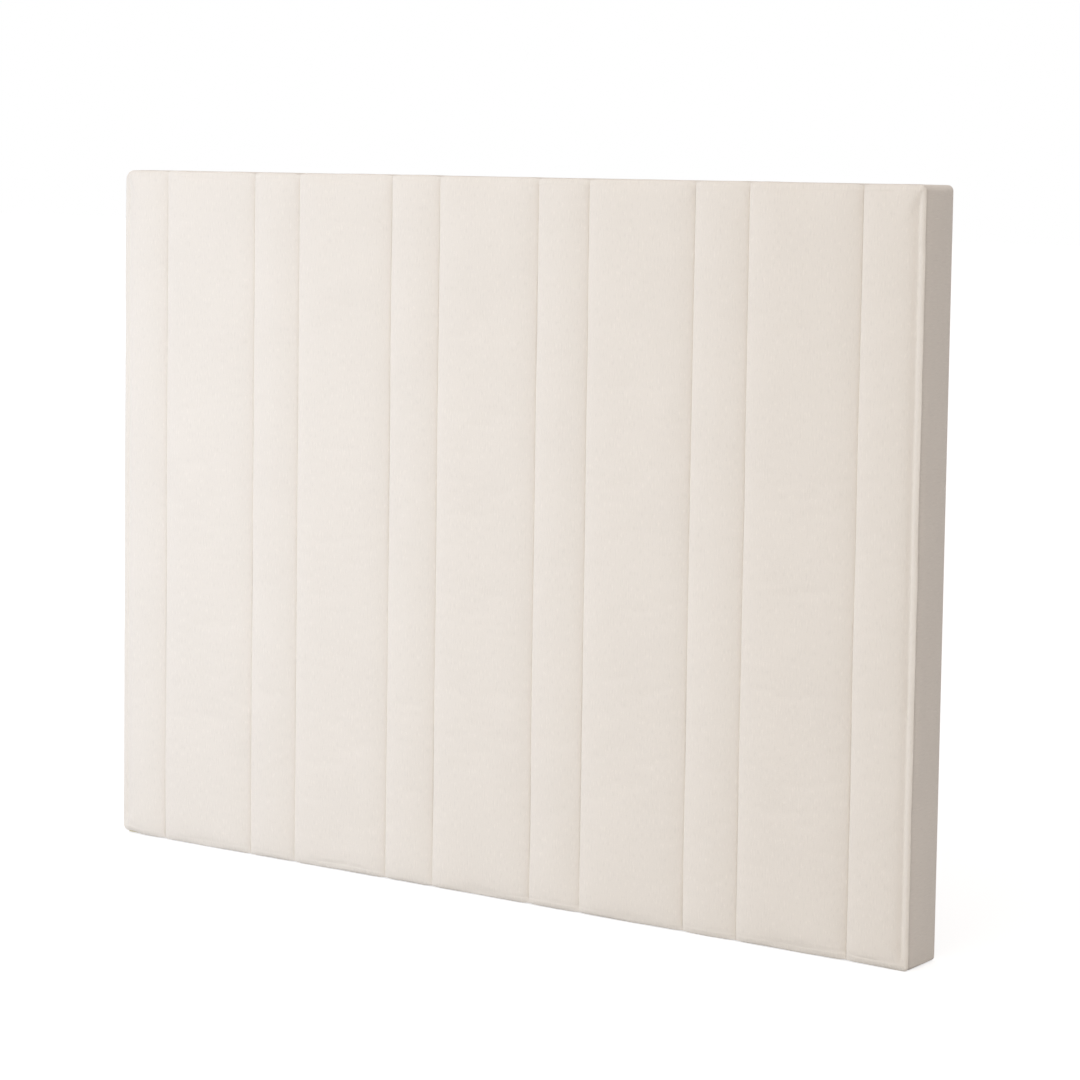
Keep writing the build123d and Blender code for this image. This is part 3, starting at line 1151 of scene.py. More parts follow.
    def columns(self, number: int, fine: bool) -> np.ndarray:
        """Spaces the columns of one channel, closer towards its seams and edges.

        Args:
            number: The channel's number, from 0.
            fine: True for the finished grid, False for the one that is simulated.

        Returns:
            Places across, from the channel's left edge to its right edge.
        """
        left, right = self.edges[number], self.edges[number + 1]
        if not fine:
            return np.linspace(left, right, max(2, round((right - left) / self.coarse_step)) + 1)
        first = self.rolled() if number == 0 else np.array(self.seam_lines)
        last = self.rolled() if number == self.count - 1 else np.array(self.seam_lines)
        count = round((right - left - first[-1] - last[-1]) / self.row_step)
        middle = np.linspace(left + first[-1], right - last[-1], count + 1)[1:-1]
        return np.concatenate([left + first, middle, right - last[::-1]])

    def rolled(self) -> np.ndarray:
        """Spaces the grid lines over the rolled edge.

        Returns:
            How far inside the edge each line lies.
        """
        angles = np.linspace(0.0, math.pi / 2, self.roll_lines)
        arc = self.roll * (1.0 - np.cos(angles))
        return np.concatenate([arc, self.roll + np.array(self.inner_lines)])

    def rows(self, fine: bool) -> np.ndarray:
        """Spaces the rows, closer at the bottom and top edges.

        Args:
            fine: True for the finished grid, False for the one that is simulated.

        Returns:
            Places up, from the bottom to the top.
        """
        height = self.outline.height
        if not fine:
            return np.linspace(0.0, height, round(height / self.coarse_step) + 1)
        edge = self.rolled()
        count = round((height - 2 * edge[-1]) / self.row_step)
        middle = np.linspace(edge[-1], height - edge[-1], count + 1)[1:-1]
        return np.concatenate([edge, middle, height - edge[::-1]])

    def seam_shift(self, number: int, z: np.ndarray) -> np.ndarray:
        """Lets a seam wander a little to the sides as it goes up.

        Args:
            number: The seam's number in the list of channel edges.
            z: Places up.

        Returns:
            How far the seam is shifted at each place.
        """
        if number in (0, self.count):
            return np.zeros_like(z)
        return self.seam_wander * waves(z, self.wander_length, SEED + number)

    def slab(self, number: int, fine: bool) -> tuple[Piece, np.ndarray, np.ndarray]:
        """Builds a channel's closed slab and forms its front.

        Args:
            number: The channel's number, from 0.
            fine: True for the finished grid, False for the one that is simulated.

        Returns:
            The piece, and the places across and up of its front points as grids.
        """
        across, up = self.columns(number, fine), self.rows(fine)
        first, last = number == 0, number == self.count - 1
        wide, high = self.outline.width, self.outline.height
        x, z = np.meshgrid(across, up)
        share = (x - across[0]) / (across[-1] - across[0])
        flat_x = x + self.seam_shift(number, z) * (1.0 - share) + self.seam_shift(number + 1, z) * share
        place_x, place_z = self.outline.squeeze(flat_x, z)
        nowhere = np.full_like(x, 1.0)
        from_seam = np.minimum(nowhere if first else x - across[0], nowhere if last else across[-1] - x)
        from_edge = np.maximum(self.outline.edge_distance(place_x, place_z), 0.0)
        grid = np.arange(x.size).reshape(x.shape)
        ring = np.concatenate([grid[0, :-1], grid[:-1, -1], grid[-1, :0:-1], grid[:0:-1, 0]])
        front = np.stack([place_x.ravel(), np.full(x.size, self.back), place_z.ravel()], axis=1)
        wall = front[ring].copy()
        middle = np.array([0.0, 0.0, high / 2])
        half = np.array([wide / 2, 1.0, high / 2])
        to_side = (half - np.abs(wall - middle)) / (self.wall_reach * self.wall_inset)
        wall -= np.sign(wall - middle) * np.clip(1.0 - to_side, 0.0, 1.0) * self.wall_inset
        faces = grid_faces(grid).tolist()
        count = len(ring)
        for index in range(count):
            following = (index + 1) % count
            faces.append([ring[following], ring[index], x.size + index, x.size + following])
        faces.append([x.size + index for index in range(count - 1, -1, -1)])
        runs = (self.run_lengths(across, first, last), self.run_lengths(up, True, True))
        flat_map = np.stack(np.meshgrid(*runs), axis=-1).reshape(-1, 2)
        flat_map = np.concatenate([flat_map, flat_map[ring] + (wall - middle)[:, [0, 2]] * self.wall_spread])
        piece = mesh_object(f"channel_cover_{number + 1:02d}", np.concatenate([front, wall]), faces, flat_map)
        to_level = np.minimum(place_z, high - place_z)
        level = smooth(-self.level_zone, self.level_zone, wide / 2 - np.abs(place_x) - to_level)
        marks = {"from_seam": from_seam, "from_edge": from_edge, "front": np.ones_like(x), "level": level}
        for label, values in marks.items():
            set_values(piece, label, np.concatenate([values.ravel(), np.zeros(count)]))
        grow(piece, self.tree, {"Finish": self.finish} | self.sizes())
        return piece, place_x, place_z

    def run_lengths(self, places: np.ndarray, rolled_low: bool, rolled_high: bool) -> np.ndarray:
        """Adds the length of cloth that lies over a rolled edge to the places of the grid lines.

        Args:
            places: Places of the grid lines.
            rolled_low: True where the first line is on a rolled edge.
            rolled_high: True where the last line is on a rolled edge.

        Returns:
            The cloth length at each grid line.
        """
        run = places.copy()
        ends = ((rolled_low, places - places[0], -1), (rolled_high, places[-1] - places, 1))
        for rolled, inside, sign in ends:
            if rolled:
                angle = np.arccos(np.clip(1.0 - inside / self.roll, 0.0, 1.0))
                flat = self.roll - np.minimum(inside, self.roll)
                run += sign * (self.roll * (math.pi / 2 - angle) - flat)
        return run

    def swell(self) -> list[np.ndarray]:
        """Inflates all channels together as cloth, held at their seams and edges.

        Returns:
            How far each simulated point moved, as one grid of x, y and z for each channel.
        """
        parts = [self.slab(number, False) for number in range(self.count)]
        shapes = [x.shape for _, x, _ in parts]
        before = np.concatenate([positions(piece)[: x.size] for piece, x, _ in parts])
        starts = np.cumsum([0] + [rows * columns for rows, columns in shapes])
        grids = [np.arange(low, high).reshape(shape) for low, high, shape in zip(starts, starts[1:], shapes)]
        faces = np.concatenate([grid_faces(grid) for grid in grids])
        cover = mesh_object("cover_trial", before, faces.tolist())
        held = cover.vertex_groups.new(name="held")
        pinned = [line for grid in grids for line in (grid[:, 0], grid[:, -1], grid[0], grid[-1])]
        held.add(np.unique(np.concatenate(pinned)).tolist(), 1.0, "REPLACE")
        cloth = cover.modifiers.new("swell", "CLOTH")
        settings = cloth.settings
        settings.quality = self.cloth_quality
        settings.mass = self.cloth_mass
        settings.tension_stiffness = self.tension
        settings.compression_stiffness = self.tension
        settings.shear_stiffness = self.tension / 2
        settings.bending_stiffness = self.bending
        settings.use_pressure = True
        settings.uniform_pressure_force = self.pressure
        settings.shrink_min = -self.slack
        settings.effector_weights.gravity = 0.0
        settings.vertex_group_mass = "held"
        cloth.collision_settings.use_collision = False
        scene = bpy.context.scene
        for number in range(self.swell_frames):
            scene.frame_set(number + 1)
        graph = bpy.context.evaluated_depsgraph_get()
        moved = positions(cover.evaluated_get(graph)) - before
        scene.frame_set(1)
        for piece in [piece for piece, _, _ in parts] + [cover]:
            mesh = piece.data
            bpy.data.objects.remove(piece)
            bpy.data.meshes.remove(mesh)
        log.info("swell: mean %.4f, most %.4f", float(np.abs(moved).mean()), float(np.abs(moved).max()))
        return [self.calm_swell(moved[grid]) for grid in grids]

    def calm_swell(self, moved: np.ndarray) -> np.ndarray:
        """Scales the simulated movement down to what a tightly filled face shows.

        Args:
            moved: The movement of one channel's grid.

        Returns:
            The smaller, capped movement.
        """
        dome = moved[self.dome_rows : -self.dome_rows].mean(axis=0, keepdims=True)
        part = self.dome_share * dome + self.fold_share * (moved - dome)
        part[[0, -1]] = 0.0
        length = np.linalg.norm(part, axis=-1, keepdims=True)
        return part * np.minimum(1.0, self.swell_limit / np.maximum(length, TINY))

    def spread_swell(self, number: int, moved: np.ndarray) -> np.ndarray:
        """Carries the simulated movement over to the finished grid.

        Args:
            number: The channel's number, from 0.
            moved: The movement on the simulated grid.

        Returns:
            The movement on the finished grid.
        """
        up = between(self.rows(False), self.rows(True))
        across = between(self.columns(number, False), self.columns(number, True))
        return np.einsum("ij,jkc,lk->ilc", up, moved, across)

    def detail(self, number: int, x: np.ndarray, z: np.ndarray) -> np.ndarray:
        """Works out the small tucks, waves and edge groove of a channel's front.

        Args:
            number: The channel's number, from 0.
            x: Places across of its front points.
            z: Places up of its front points.

        Returns:
            How far each front point moves towards the front.
        """
        push = self.unevenness * field_waves(x, z, *self.uneven_lengths, SEED + 3)
        for side, seam in enumerate((number, number + 1)):
            if seam in (0, self.count):
                continue
            away = np.abs(x - self.edges[seam])
            tucks = waves(z, self.tuck_pitch, SEED + 31 * seam + side, 2)
            strength = 0.5 + 0.5 * waves(z, self.tuck_length, SEED + 17 * seam + 5 + side, 1)
            near = np.exp(-away / self.tuck_reach) * (1.0 - np.exp(-away / self.tuck_start))
            push += self.tuck_height * tucks * strength * near
        from_edge = self.outline.edge_distance(x, z)
        around = np.where(np.abs(x) > self.outline.width / 2 - self.side_zone, z, x + 7.0)
        drift_length, fade_length = self.groove_lengths
        line = self.groove_inset + self.groove_drift * waves(around, drift_length, SEED + 8)
        present = smooth(*self.groove_fade, waves(around, fade_length, SEED + 9, 2))
        groove = np.exp(-(((from_edge - line) / self.groove_width) ** 2))
        push -= self.groove_depth * groove * (self.groove_least + (1.0 - self.groove_least) * present)
        return push * smooth(0.0, self.calm_edge, from_edge)

    def build(self) -> list[Piece]:
        """Builds all channels.

        Returns:
            The finished channel covers, left to right.
        """
        moved = self.swell()
        pieces = []
        for number in range(self.count):
            piece, x, z = self.slab(number, True)
            points = positions(piece)
            front = points[: x.size].reshape(x.shape + (3,))
            if moved is not None:
                front = front + self.spread_swell(number, moved[number])
            front[..., 1] -= self.detail(number, x, z)
            points[: x.size] = front.reshape(-1, 3)
            set_positions(piece, self.outline.draw_up(self.outline.loosen(points, self.edges[1:-1])))
            declare(piece, "cover_cloth", f"channel_{number + 1:02d}")
            pieces.append(piece)
        return pieces


@dataclass
class EdgeCover:
    """The cloth round the edge of the board, turned under onto its back."""

    outline: Outline
    finish: Finish
    seams: list[float]
    cloth_back: float = 0.0492
    turned: float = 0.04
    cloth: float = 0.0012
    puff: float = 0.0022
    puff_ends: tuple[float, float] = (0.3, 0.2)
    puff_power: float = 0.7
    puff_stop: float = 0.97
    ripple: float = 0.0007
    ripple_lengths: tuple[float, float] = (0.07, 0.03)
    free_front: tuple[float, float] = (-0.037, -0.028)
    free_back: tuple[float, float] = (0.038, 0.047)
    most_outwards: float = 0.01
    top_calm: float = 0.85
    back_radius: float = 0.0045
    side_start: float = -0.0275
    side_count: int = 18
    bend_count: int = 6
    step: float = 0.004
    seam_points: tuple = (
        (0.0040, -0.0384),
        (0.0032, -0.0383),
        (0.0024, -0.0378),
        (0.0017, -0.0368),
        (0.0010, -0.0351),
        (0.0005, -0.0330),
        (0.0001, -0.0305),
    )
    under_insets: tuple = (0.008, 0.012, 0.017, 0.022, 0.027, 0.033, 0.037)

    def profile(self) -> np.ndarray:
        """Gives the cross-section, from the face seam to the end of the turned-under cloth.

        Returns:
            One row of inset and depth for each point.
        """
        points = list(self.seam_points)
        start, end = self.side_start, self.cloth_back - self.back_radius
        first, last = self.puff_ends
        for number in range(self.side_count):
            t = number / (self.side_count - 1)
            bow = math.sin(math.pi * min(1.0, t * 1.02)) ** self.puff_power
            bulge = first + (1.0 - first) * bow if t < self.puff_stop else last
            points.append((-self.puff * bulge, start + (end - start) * t))
        for number in range(1, self.bend_count + 1):
            angle = number / self.bend_count * math.pi / 2
            inset = self.back_radius * (1.0 - math.cos(angle))
            points.append((inset, end + self.back_radius * math.sin(angle)))
        points += [(inset, self.cloth_back) for inset in (*self.under_insets, self.turned)]
        return np.array(points)

    def path(self, edge: Edge) -> tuple[np.ndarray, np.ndarray]:
        """Gives the line that an edge's strip of cloth follows.

        Args:
            edge: Which strip of cloth is made.

        Returns:
            The stations' places, and their outward directions, one row each.
        """
        if edge is Edge.BORDER:
            return self.outline.round_loop(self.step, self.turned)
        half = self.outline.width / 2 - self.turned
        count = round(2 * half / self.step) + 1
        places = np.stack([np.linspace(half, -half, count), np.zeros(count)], axis=1)
        return places, np.tile((0.0, -1.0), (count, 1))

    def sweep(self, edge: Edge, name: str) -> Piece:
        """Sweeps the cross-section along an edge and gives it the cloth's thickness.

        Args:
            edge: Which strip of cloth is made.
            name: Name of the piece.

        Returns:
            The finished strip.
        """
        places, ways = self.path(edge)
        profile = self.profile()
        along, across = (
            np.concatenate([[0.0], np.cumsum(np.linalg.norm(np.diff(line, axis=0), axis=1))])
            for line in (places, profile)
        )
        inset, depth = (np.tile(profile[:, column], (len(places), 1)) for column in (0, 1))
        standing = np.abs(ways[:, 1] + 1.0) > 0.5
        calm = (standing * (1.0 - self.top_calm * np.maximum(ways[:, 1], 0.0)))[:, None]
        ripple = field_waves(along[:, None] + 0.0 * depth, depth, *self.ripple_lengths, SEED + 12)
        free = smooth(*self.free_front, depth) * (1.0 - smooth(*self.free_back, depth))
        inset = np.where(inset < 0.0, inset * calm, inset) - self.ripple * ripple * free * calm
        half, high = self.outline.width / 2, self.outline.height
        limit = np.maximum(inset, -self.most_outwards)
        x = np.clip(places[:, :1] - ways[:, :1] * inset, -half + limit, half - limit)
        z = np.clip(places[:, 1:] - ways[:, 1:] * inset, np.maximum(limit, 0.0), high - limit)
        points = np.stack([x, depth, z], axis=-1).reshape(-1, 3)
        points = self.outline.draw_up(self.outline.loosen(points, self.seams))
        quads = grid_faces(np.arange(len(points)).reshape(depth.shape), turned=True)
        flat_map = np.stack(np.meshgrid(across, along)[::-1], axis=-1).reshape(-1, 2)
        piece = mesh_object(name, points, quads.tolist(), flat_map)
        with open_mesh(piece) as work:
            bmesh.ops.remove_doubles(work, verts=work.verts, dist=MERGE)
            bmesh.ops.dissolve_degenerate(work, dist=THIN, edges=work.edges)
        piece.data.materials.append(self.finish)
        thicken(piece, self.cloth)
        declare(piece, "cover_cloth", edge.value)
        return piece

    def build(self) -> list[Piece]:
        """Builds both strips of cloth.

        Returns:
            The finished border and bottom.
        """
        border = self.sweep(Edge.BORDER, "border_cover")
        return [border, self.sweep(Edge.BOTTOM, "bottom_cover")]


@dataclass
class Fillings:
    """The foam slab behind the face and the soft strips round the edge."""

    foam: Finish
    wadding: Finish
    edge: EdgeCover
    bevel: float = 0.0012
    bevel_steps: int = 3
    foam_cell: Triple = (0.03, 0.03, 0.03)
    strip_cell: Triple = (0.004, 0.003, 0.004)
    foam_inset: Triple = (0.0002, 0.0002, 0.0002)
    strip_inset: Triple = (0.0006, 0.0010, 0.0006)
    air: float = 0.0004

    def shell(self, node: str, inset: Triple, cell: Triple) -> tuple[np.ndarray, np.ndarray]:
        """Divides the six sides of a node's box into small faces.

        Args:
            node: The node whose box is taken.
            inset: How much smaller the shell is than the box, on each axis.
            cell: Longest side of a small face, on each axis.

        Returns:
            The points, and the faces as rows of point numbers.
        """
        lines = []
        for low, high, less, size in zip(*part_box(node), inset, cell):
            count = max(2, math.ceil((high - low) / size))
            lines.append(np.linspace(low + less, high - less, count + 1))
        lattice = np.stack(np.meshgrid(*lines, indexing="ij"), axis=-1)
        index = np.arange(lattice[..., 0].size).reshape(lattice.shape[:3])
        sides = [np.take(index, end, axis=axis) for axis in range(3) for end in (0, -1)]
        faces = np.concatenate([grid_faces(side, turned=True) for side in sides])
        used, numbers = np.unique(faces, return_inverse=True)
        return lattice.reshape(-1, 3)[used], numbers.reshape(-1, 4)

    def tuck(self, points: np.ndarray) -> np.ndarray:
        """Keeps a strip's points under the edge cloth, also where the seams pull the cloth in.

        Args:
            points: One row of x, y and z for each point.

        Returns:
            The moved points.
        """
        outline, seams = self.edge.outline, self.edge.seams
        half, high = outline.width / 2, outline.height
        x, y, z = points.T
        standing = self.edge.profile()[: -len(self.edge.under_insets) - 1]
        depth = np.interp(y, standing[:, 1], np.maximum(standing[:, 0], 0.0)) + self.edge.cloth + self.air
        top = np.stack([x, y, np.full_like(z, high)], axis=1)
        beside = np.stack([np.sign(x) * outline.width / 2, y, z], axis=1)
        down = high - outline.loosen(top, seams)[:, 2]
        inwards = half - np.abs(outline.loosen(beside, seams)[:, 0])
        near = 2.0 * outline.radii[Corner.TOP_RIGHT]
        pulled = np.where(z > high - near, down, 0.0)
        pulled = np.maximum(pulled, np.where(np.abs(x) > half - near, inwards, 0.0))
        moved = points.copy()
        moved[:, 0], moved[:, 2] = outline.keep_inside(x, z, depth + np.maximum(pulled, 0.0))
        return moved

    def block(self, name: str, node: str, strip: bool) -> Piece:
        """Builds one soft block with rounded edges in the place of a node.

        Args:
            name: Name of the piece.
            node: The node that it stands for.
            strip: True for a strip of wadding, False for the foam slab.

        Returns:
            The finished block.
        """
        if strip:
            points, faces = self.shell(node, self.strip_inset, self.strip_cell)
            points = self.tuck(points)
        else:
            points, faces = self.shell(node, self.foam_inset, self.foam_cell)
        piece = mesh_object(name, points, faces.tolist())
        face_outwards(piece)
        piece.data.materials.append(self.wadding if strip else self.foam)
        bevel = piece.modifiers.new("bevel", "BEVEL")
        bevel.width = self.bevel
        bevel.segments = self.bevel_steps
        bevel.limit_method = "ANGLE"
        apply_modifiers(piece)
        declare(piece, "wadding" if strip else "foam", node)
        return piece

    def build(self) -> list[Piece]:
        """Builds the slab and the three strips.

        Returns:
            The finished slab and strips.
        """
        strips = [f"edge_filling_{side}" for side in ("left", "top", "right")]
        slab = self.block("foam_filling", "foam_slab", False)
        return [slab] + [self.block(name, name.replace("filling", "padding"), True) for name in strips]


@dataclass
class BackLining:
    """The thin dark cloth over the open back, with its staples."""

    outline: Outline
    finish: Finish
    steel: Finish
    inset: float = 0.015
    cloth_back: float = 0.0492
    thickness: float = 0.0005
    cell: float = 0.012
    hole_radius: float = 0.009
    hole_sides: int = 24
    hole_clear: float = 0.0125
    hole_waver: float = 0.04
    row_shift: float = 0.25
    sag: float = 0.0022
    sag_lengths: tuple[float, float] = (0.12, 0.17)
    sag_share: float = 0.8
    sag_change: float = 0.35
    sag_start: float = 0.09
    uprights: tuple = ((-0.7683, 0.0225), (-0.35, 0.0475), (0.35, 0.0475), (0.7683, 0.0225))
    rails: tuple = ((0.0237, 0.0225), (0.596, 0.0225), (1.1683, 0.0225))
    crown: float = 0.010
    wire: float = 0.0007
    leg: float = 0.0073
    bend: float = 0.0009
    sunk: float = 0.0004
    slant: float = 0.07
    dent: float = 0.00012
    dent_width: float = 0.012
    staple_inset: float = 0.022
    staple_margin: float = 0.06
    across_count: int = 19
    up_count: int = 14
    post_half: float = 0.35
    hole_low: float = 0.12
    hole_gap: float = 0.2

    def holes(self) -> list[tuple[float, float]]:
        """Gives the places of the four cut-outs."""
        heights = (self.hole_low, self.hole_low + self.hole_gap)
        return [(side * self.post_half, z) for side in (-1, 1) for z in heights]

    def staple_places(self) -> list[tuple[float, float, float]]:
        """Spaces the staples along the four sides.

        Returns:
            Each staple's place across and up, and its turn in radians.
        """
        high, inset, margin = self.outline.height, self.staple_inset, self.staple_margin
        half = self.outline.width / 2 - margin
        side_x = self.outline.width / 2 - inset
        places = []
        for x in np.linspace(-half, half, self.across_count):
            places += [(float(x), inset, 0.0), (float(x), high - inset, 0.0)]
        for z in np.linspace(margin, high - margin, self.up_count):
            places += [(-side_x, float(z), math.pi / 2), (side_x, float(z), math.pi / 2)]
        return places

    def depth(self, x: np.ndarray, z: np.ndarray) -> np.ndarray:
        """Works out how far the lining lies in front of its flat plane, sagging between the timbers.

        Args:
            x: Places across.
            z: Places up.

        Returns:
            The sag at each place.
        """
        open_bay = 1.0
        for at, bars in ((x, self.uprights), (z, self.rails)):
            away = np.min([np.maximum(np.abs(at - bar) - half, 0.0) for bar, half in bars], axis=0)
            open_bay = open_bay * smooth(0.0, self.sag_start, away)
        flow = field_waves(x, z, *self.sag_lengths, SEED + 21)
        return self.sag * open_bay * (self.sag_share + self.sag_change * flow)

    def flat_sheet(self, half: float, low: float, high: float) -> tuple[np.ndarray, list]:
        """Lays out the sheet flat, with its four round cut-outs.

        Args:
            half: Half the sheet's width.
            low: Place of its lower edge.
            high: Place of its upper edge.

        Returns:
            The points, across and up, and the faces.
        """
        holes, step = self.holes(), self.cell
        columns = np.linspace(-half, half, round(2 * half / step) + 1)
        rows = np.linspace(low, high, round((high - low) / step) + 1)
        points = [(x, low) for x in columns[:-1]] + [(half, z) for z in rows[:-1]]
        points += [(x, high) for x in columns[:0:-1]] + [(-half, z) for z in rows[:0:-1]]
        border = [list(range(len(points)))]
        for x, z in holes:
            border.append(list(range(len(points), len(points) + self.hole_sides)))
            for number in range(self.hole_sides):
                angle = -number / self.hole_sides * 2 * math.pi
                reach = self.hole_radius * (1.0 + self.hole_waver * math.sin(3 * angle + x))
                points.append((x + reach * math.cos(angle), z + reach * math.sin(angle)))
        for row, z in enumerate(rows[1:-1]):
            for x in columns[1:-1]:
                at = x + (self.row_shift * step if row % 2 else -self.row_shift * step)
                clear = all(math.dist((at, z), hole) > self.hole_clear for hole in holes)
                if clear and abs(at) < half - 0.4 * step:
                    points.append((at, z))
        corners = [Vector((float(x), float(z))) for x, z in points]
        result = delaunay_2d_cdt(corners, [], border, 2, THIN)
        flat = np.array([[p.x, p.y] for p in result[0]])
        faces = []
        for face in result[2]:
            middle = np.mean(flat[list(face)], axis=0)
            if all(math.dist(middle, hole) > self.hole_radius * 0.9 for hole in holes):
                faces.append(face)
        return flat, faces

    def lining(self) -> Piece:
        """Builds the stretched lining.

        Returns:
            The finished sheet.
        """
        half = self.outline.width / 2 - self.inset
        low, high = self.inset, self.outline.height - self.inset
        flat, faces = self.flat_sheet(half, low, high)
        depth = self.cloth_back + self.thickness - self.depth(flat[:, 0], flat[:, 1])
        for x, z, _ in self.staple_places():
            away = np.hypot(flat[:, 0] - x, flat[:, 1] - z)
            depth -= self.dent * np.exp(-((away / self.dent_width) ** 2))
        shaped = np.stack([flat[:, 0], depth, flat[:, 1]], axis=1)
        piece = mesh_object("back_lining_cloth", shaped, faces, flat)
        with open_mesh(piece) as work:
            for face in work.faces:
                face.normal_update()
                if face.normal.y < 0:
                    face.normal_flip()
        piece.data.materials.append(self.finish)
        thicken(piece, self.thickness)
        declare(piece, "lining_cloth", "back_lining")
        return piece

    def one_staple(self) -> Piece:
        """Builds a single staple of bent wire.

        Returns:
            The staple, with its legs downwards.
        """
        wire = bpy.data.curves.new("staple_wire", "CURVE")
        wire.dimensions = "3D"
        wire.bevel_depth = self.wire / 2
        wire.bevel_resolution = 1
        wire.use_fill_caps = True
        half, bend = (self.crown - self.wire) / 2, self.bend
        run = [(-half, -self.leg), (-half, -bend), (-half + 0.3 * bend, -0.3 * bend), (-half + bend, 0)]
        run += [(-x, z) for x, z in reversed(run)]
        line = wire.splines.new("POLY")
        line.points.add(len(run) - 1)
        for point, (x, z) in zip(line.points, run):
            point.co = (x, 0.0, z, 1.0)
        shape = add_object("staple_wire", wire)
        mesh = bpy.data.meshes.new_from_object(shape.evaluated_get(bpy.context.evaluated_depsgraph_get()))
        bpy.data.objects.remove(shape)
        return add_object("staple_one", mesh)

    def staples(self) -> Piece:
        """Builds the staples, each turned a little by hand.

        Returns:
            The finished staples as one piece.
        """
        one = self.one_staple()
        places = self.staple_places()
        outer = self.cloth_back + self.thickness + 0.5 * self.wire - self.sunk
        piece = mesh_object("lining_staple_row", np.array([(x, outer, z) for x, z, _ in places]), [])
        set_values(piece, "turn", [angle for _, _, angle in places])
        made = Tree("staple_rows", {"Slant": self.slant, "Seed": SEED}, ("Staple",))
        angle = made.math("ADD", made.named("turn"), made.lean())
        turn = made.node("ShaderNodeCombineXYZ", {0: -math.pi / 2, 1: angle}).outputs[0]
        tree = made.repeat(made.inputs["Shape"], "Staple", turn)
        grow(piece, tree, {"Slant": self.slant, "Seed": SEED, "Staple": one, "Finish": self.steel})
        bpy.data.objects.remove(one)
        declare(piece, "steel_wire", "lining_staples")
        return piece

    def build(self) -> list[Piece]:
        """Builds the lining and its staples."""
        return [self.lining(), self.staples()]


@dataclass
class SeamStitches:
    """The rows of stitches that draw the cloth down between the channels."""

    face: QuiltedFace
    finish: Finish
    pitch: float = 0.0045
    length: float = 0.0034
    thread: float = 0.0007
    slant: float = 0.05
    depth: float = -0.0413
    margin: float = 0.004
    rows: int = 241
    sides: int = 6
    rings: tuple = (
        (-0.5, 0.25, 0.6),
        (-0.3, 0.85, 0.15),
        (0.0, 1.0, 0.0),
        (0.3, 0.85, 0.15),
        (0.5, 0.25, 0.6),
    )

    def one_stitch(self) -> Piece:
        """Builds a single stitch: a short thread with rounded, sunken ends.

        Returns:
            The stitch, lying along its own Z.
        """
        points = []
        for share, width, drop in self.rings:
            radius = width * self.thread / 2
            for number in range(self.sides):
                angle = number / self.sides * 2 * math.pi
                y = radius * math.sin(angle) + drop * self.thread
                points.append((radius * math.cos(angle), y, share * self.length))
        faces = ring_faces(len(self.rings), self.sides, False)
        faces.append(list(range(self.sides - 1, -1, -1)))
        faces.append(list(range(len(points) - self.sides, len(points))))
        return mesh_object("stitch_one", np.array(points), faces)

    def build(self) -> Piece:
        """Builds the stitches of all seams.

        Returns:
            The finished stitches as one piece.
        """
        one = self.one_stitch()
        outline = self.face.outline
        points, edges = [], []
        z = np.linspace(self.margin, outline.height - self.margin, self.rows)
        for seam in range(1, self.face.count):
            x = self.face.edges[seam] + self.face.seam_shift(seam, z)
            edges += [(number, number + 1) for number in range(len(points), len(points) + len(z) - 1)]
            points += [(a, self.depth, b) for a, b in zip(x, z)]
        piece = mesh_object("seam_stitches", points, [], edges=edges)
        made = Tree("stitch_rows", {"Pitch": self.pitch, "Slant": self.slant, "Seed": SEED}, ("Stitch",))
        rows = made.node("GeometryNodeMeshToCurve", {0: made.inputs["Shape"]}).outputs[0]
        spacing = {"Curve": rows, "Length": made.inputs["Pitch"]}
        spaced = made.node("GeometryNodeResampleCurve", spacing, mode="LENGTH").outputs[0]
        turn = made.node("ShaderNodeCombineXYZ", {1: made.lean()}).outputs[0]
        sizes = {"Pitch": self.pitch, "Slant": self.slant, "Seed": SEED}
        grow(piece, made.repeat(spaced, "Stitch", turn), sizes | {"Stitch": one, "Finish": self.finish})
        bpy.data.objects.remove(one)
        set_positions(piece, outline.draw_up(positions(piece)))
        declare(piece, "cover_cloth")
        return piece


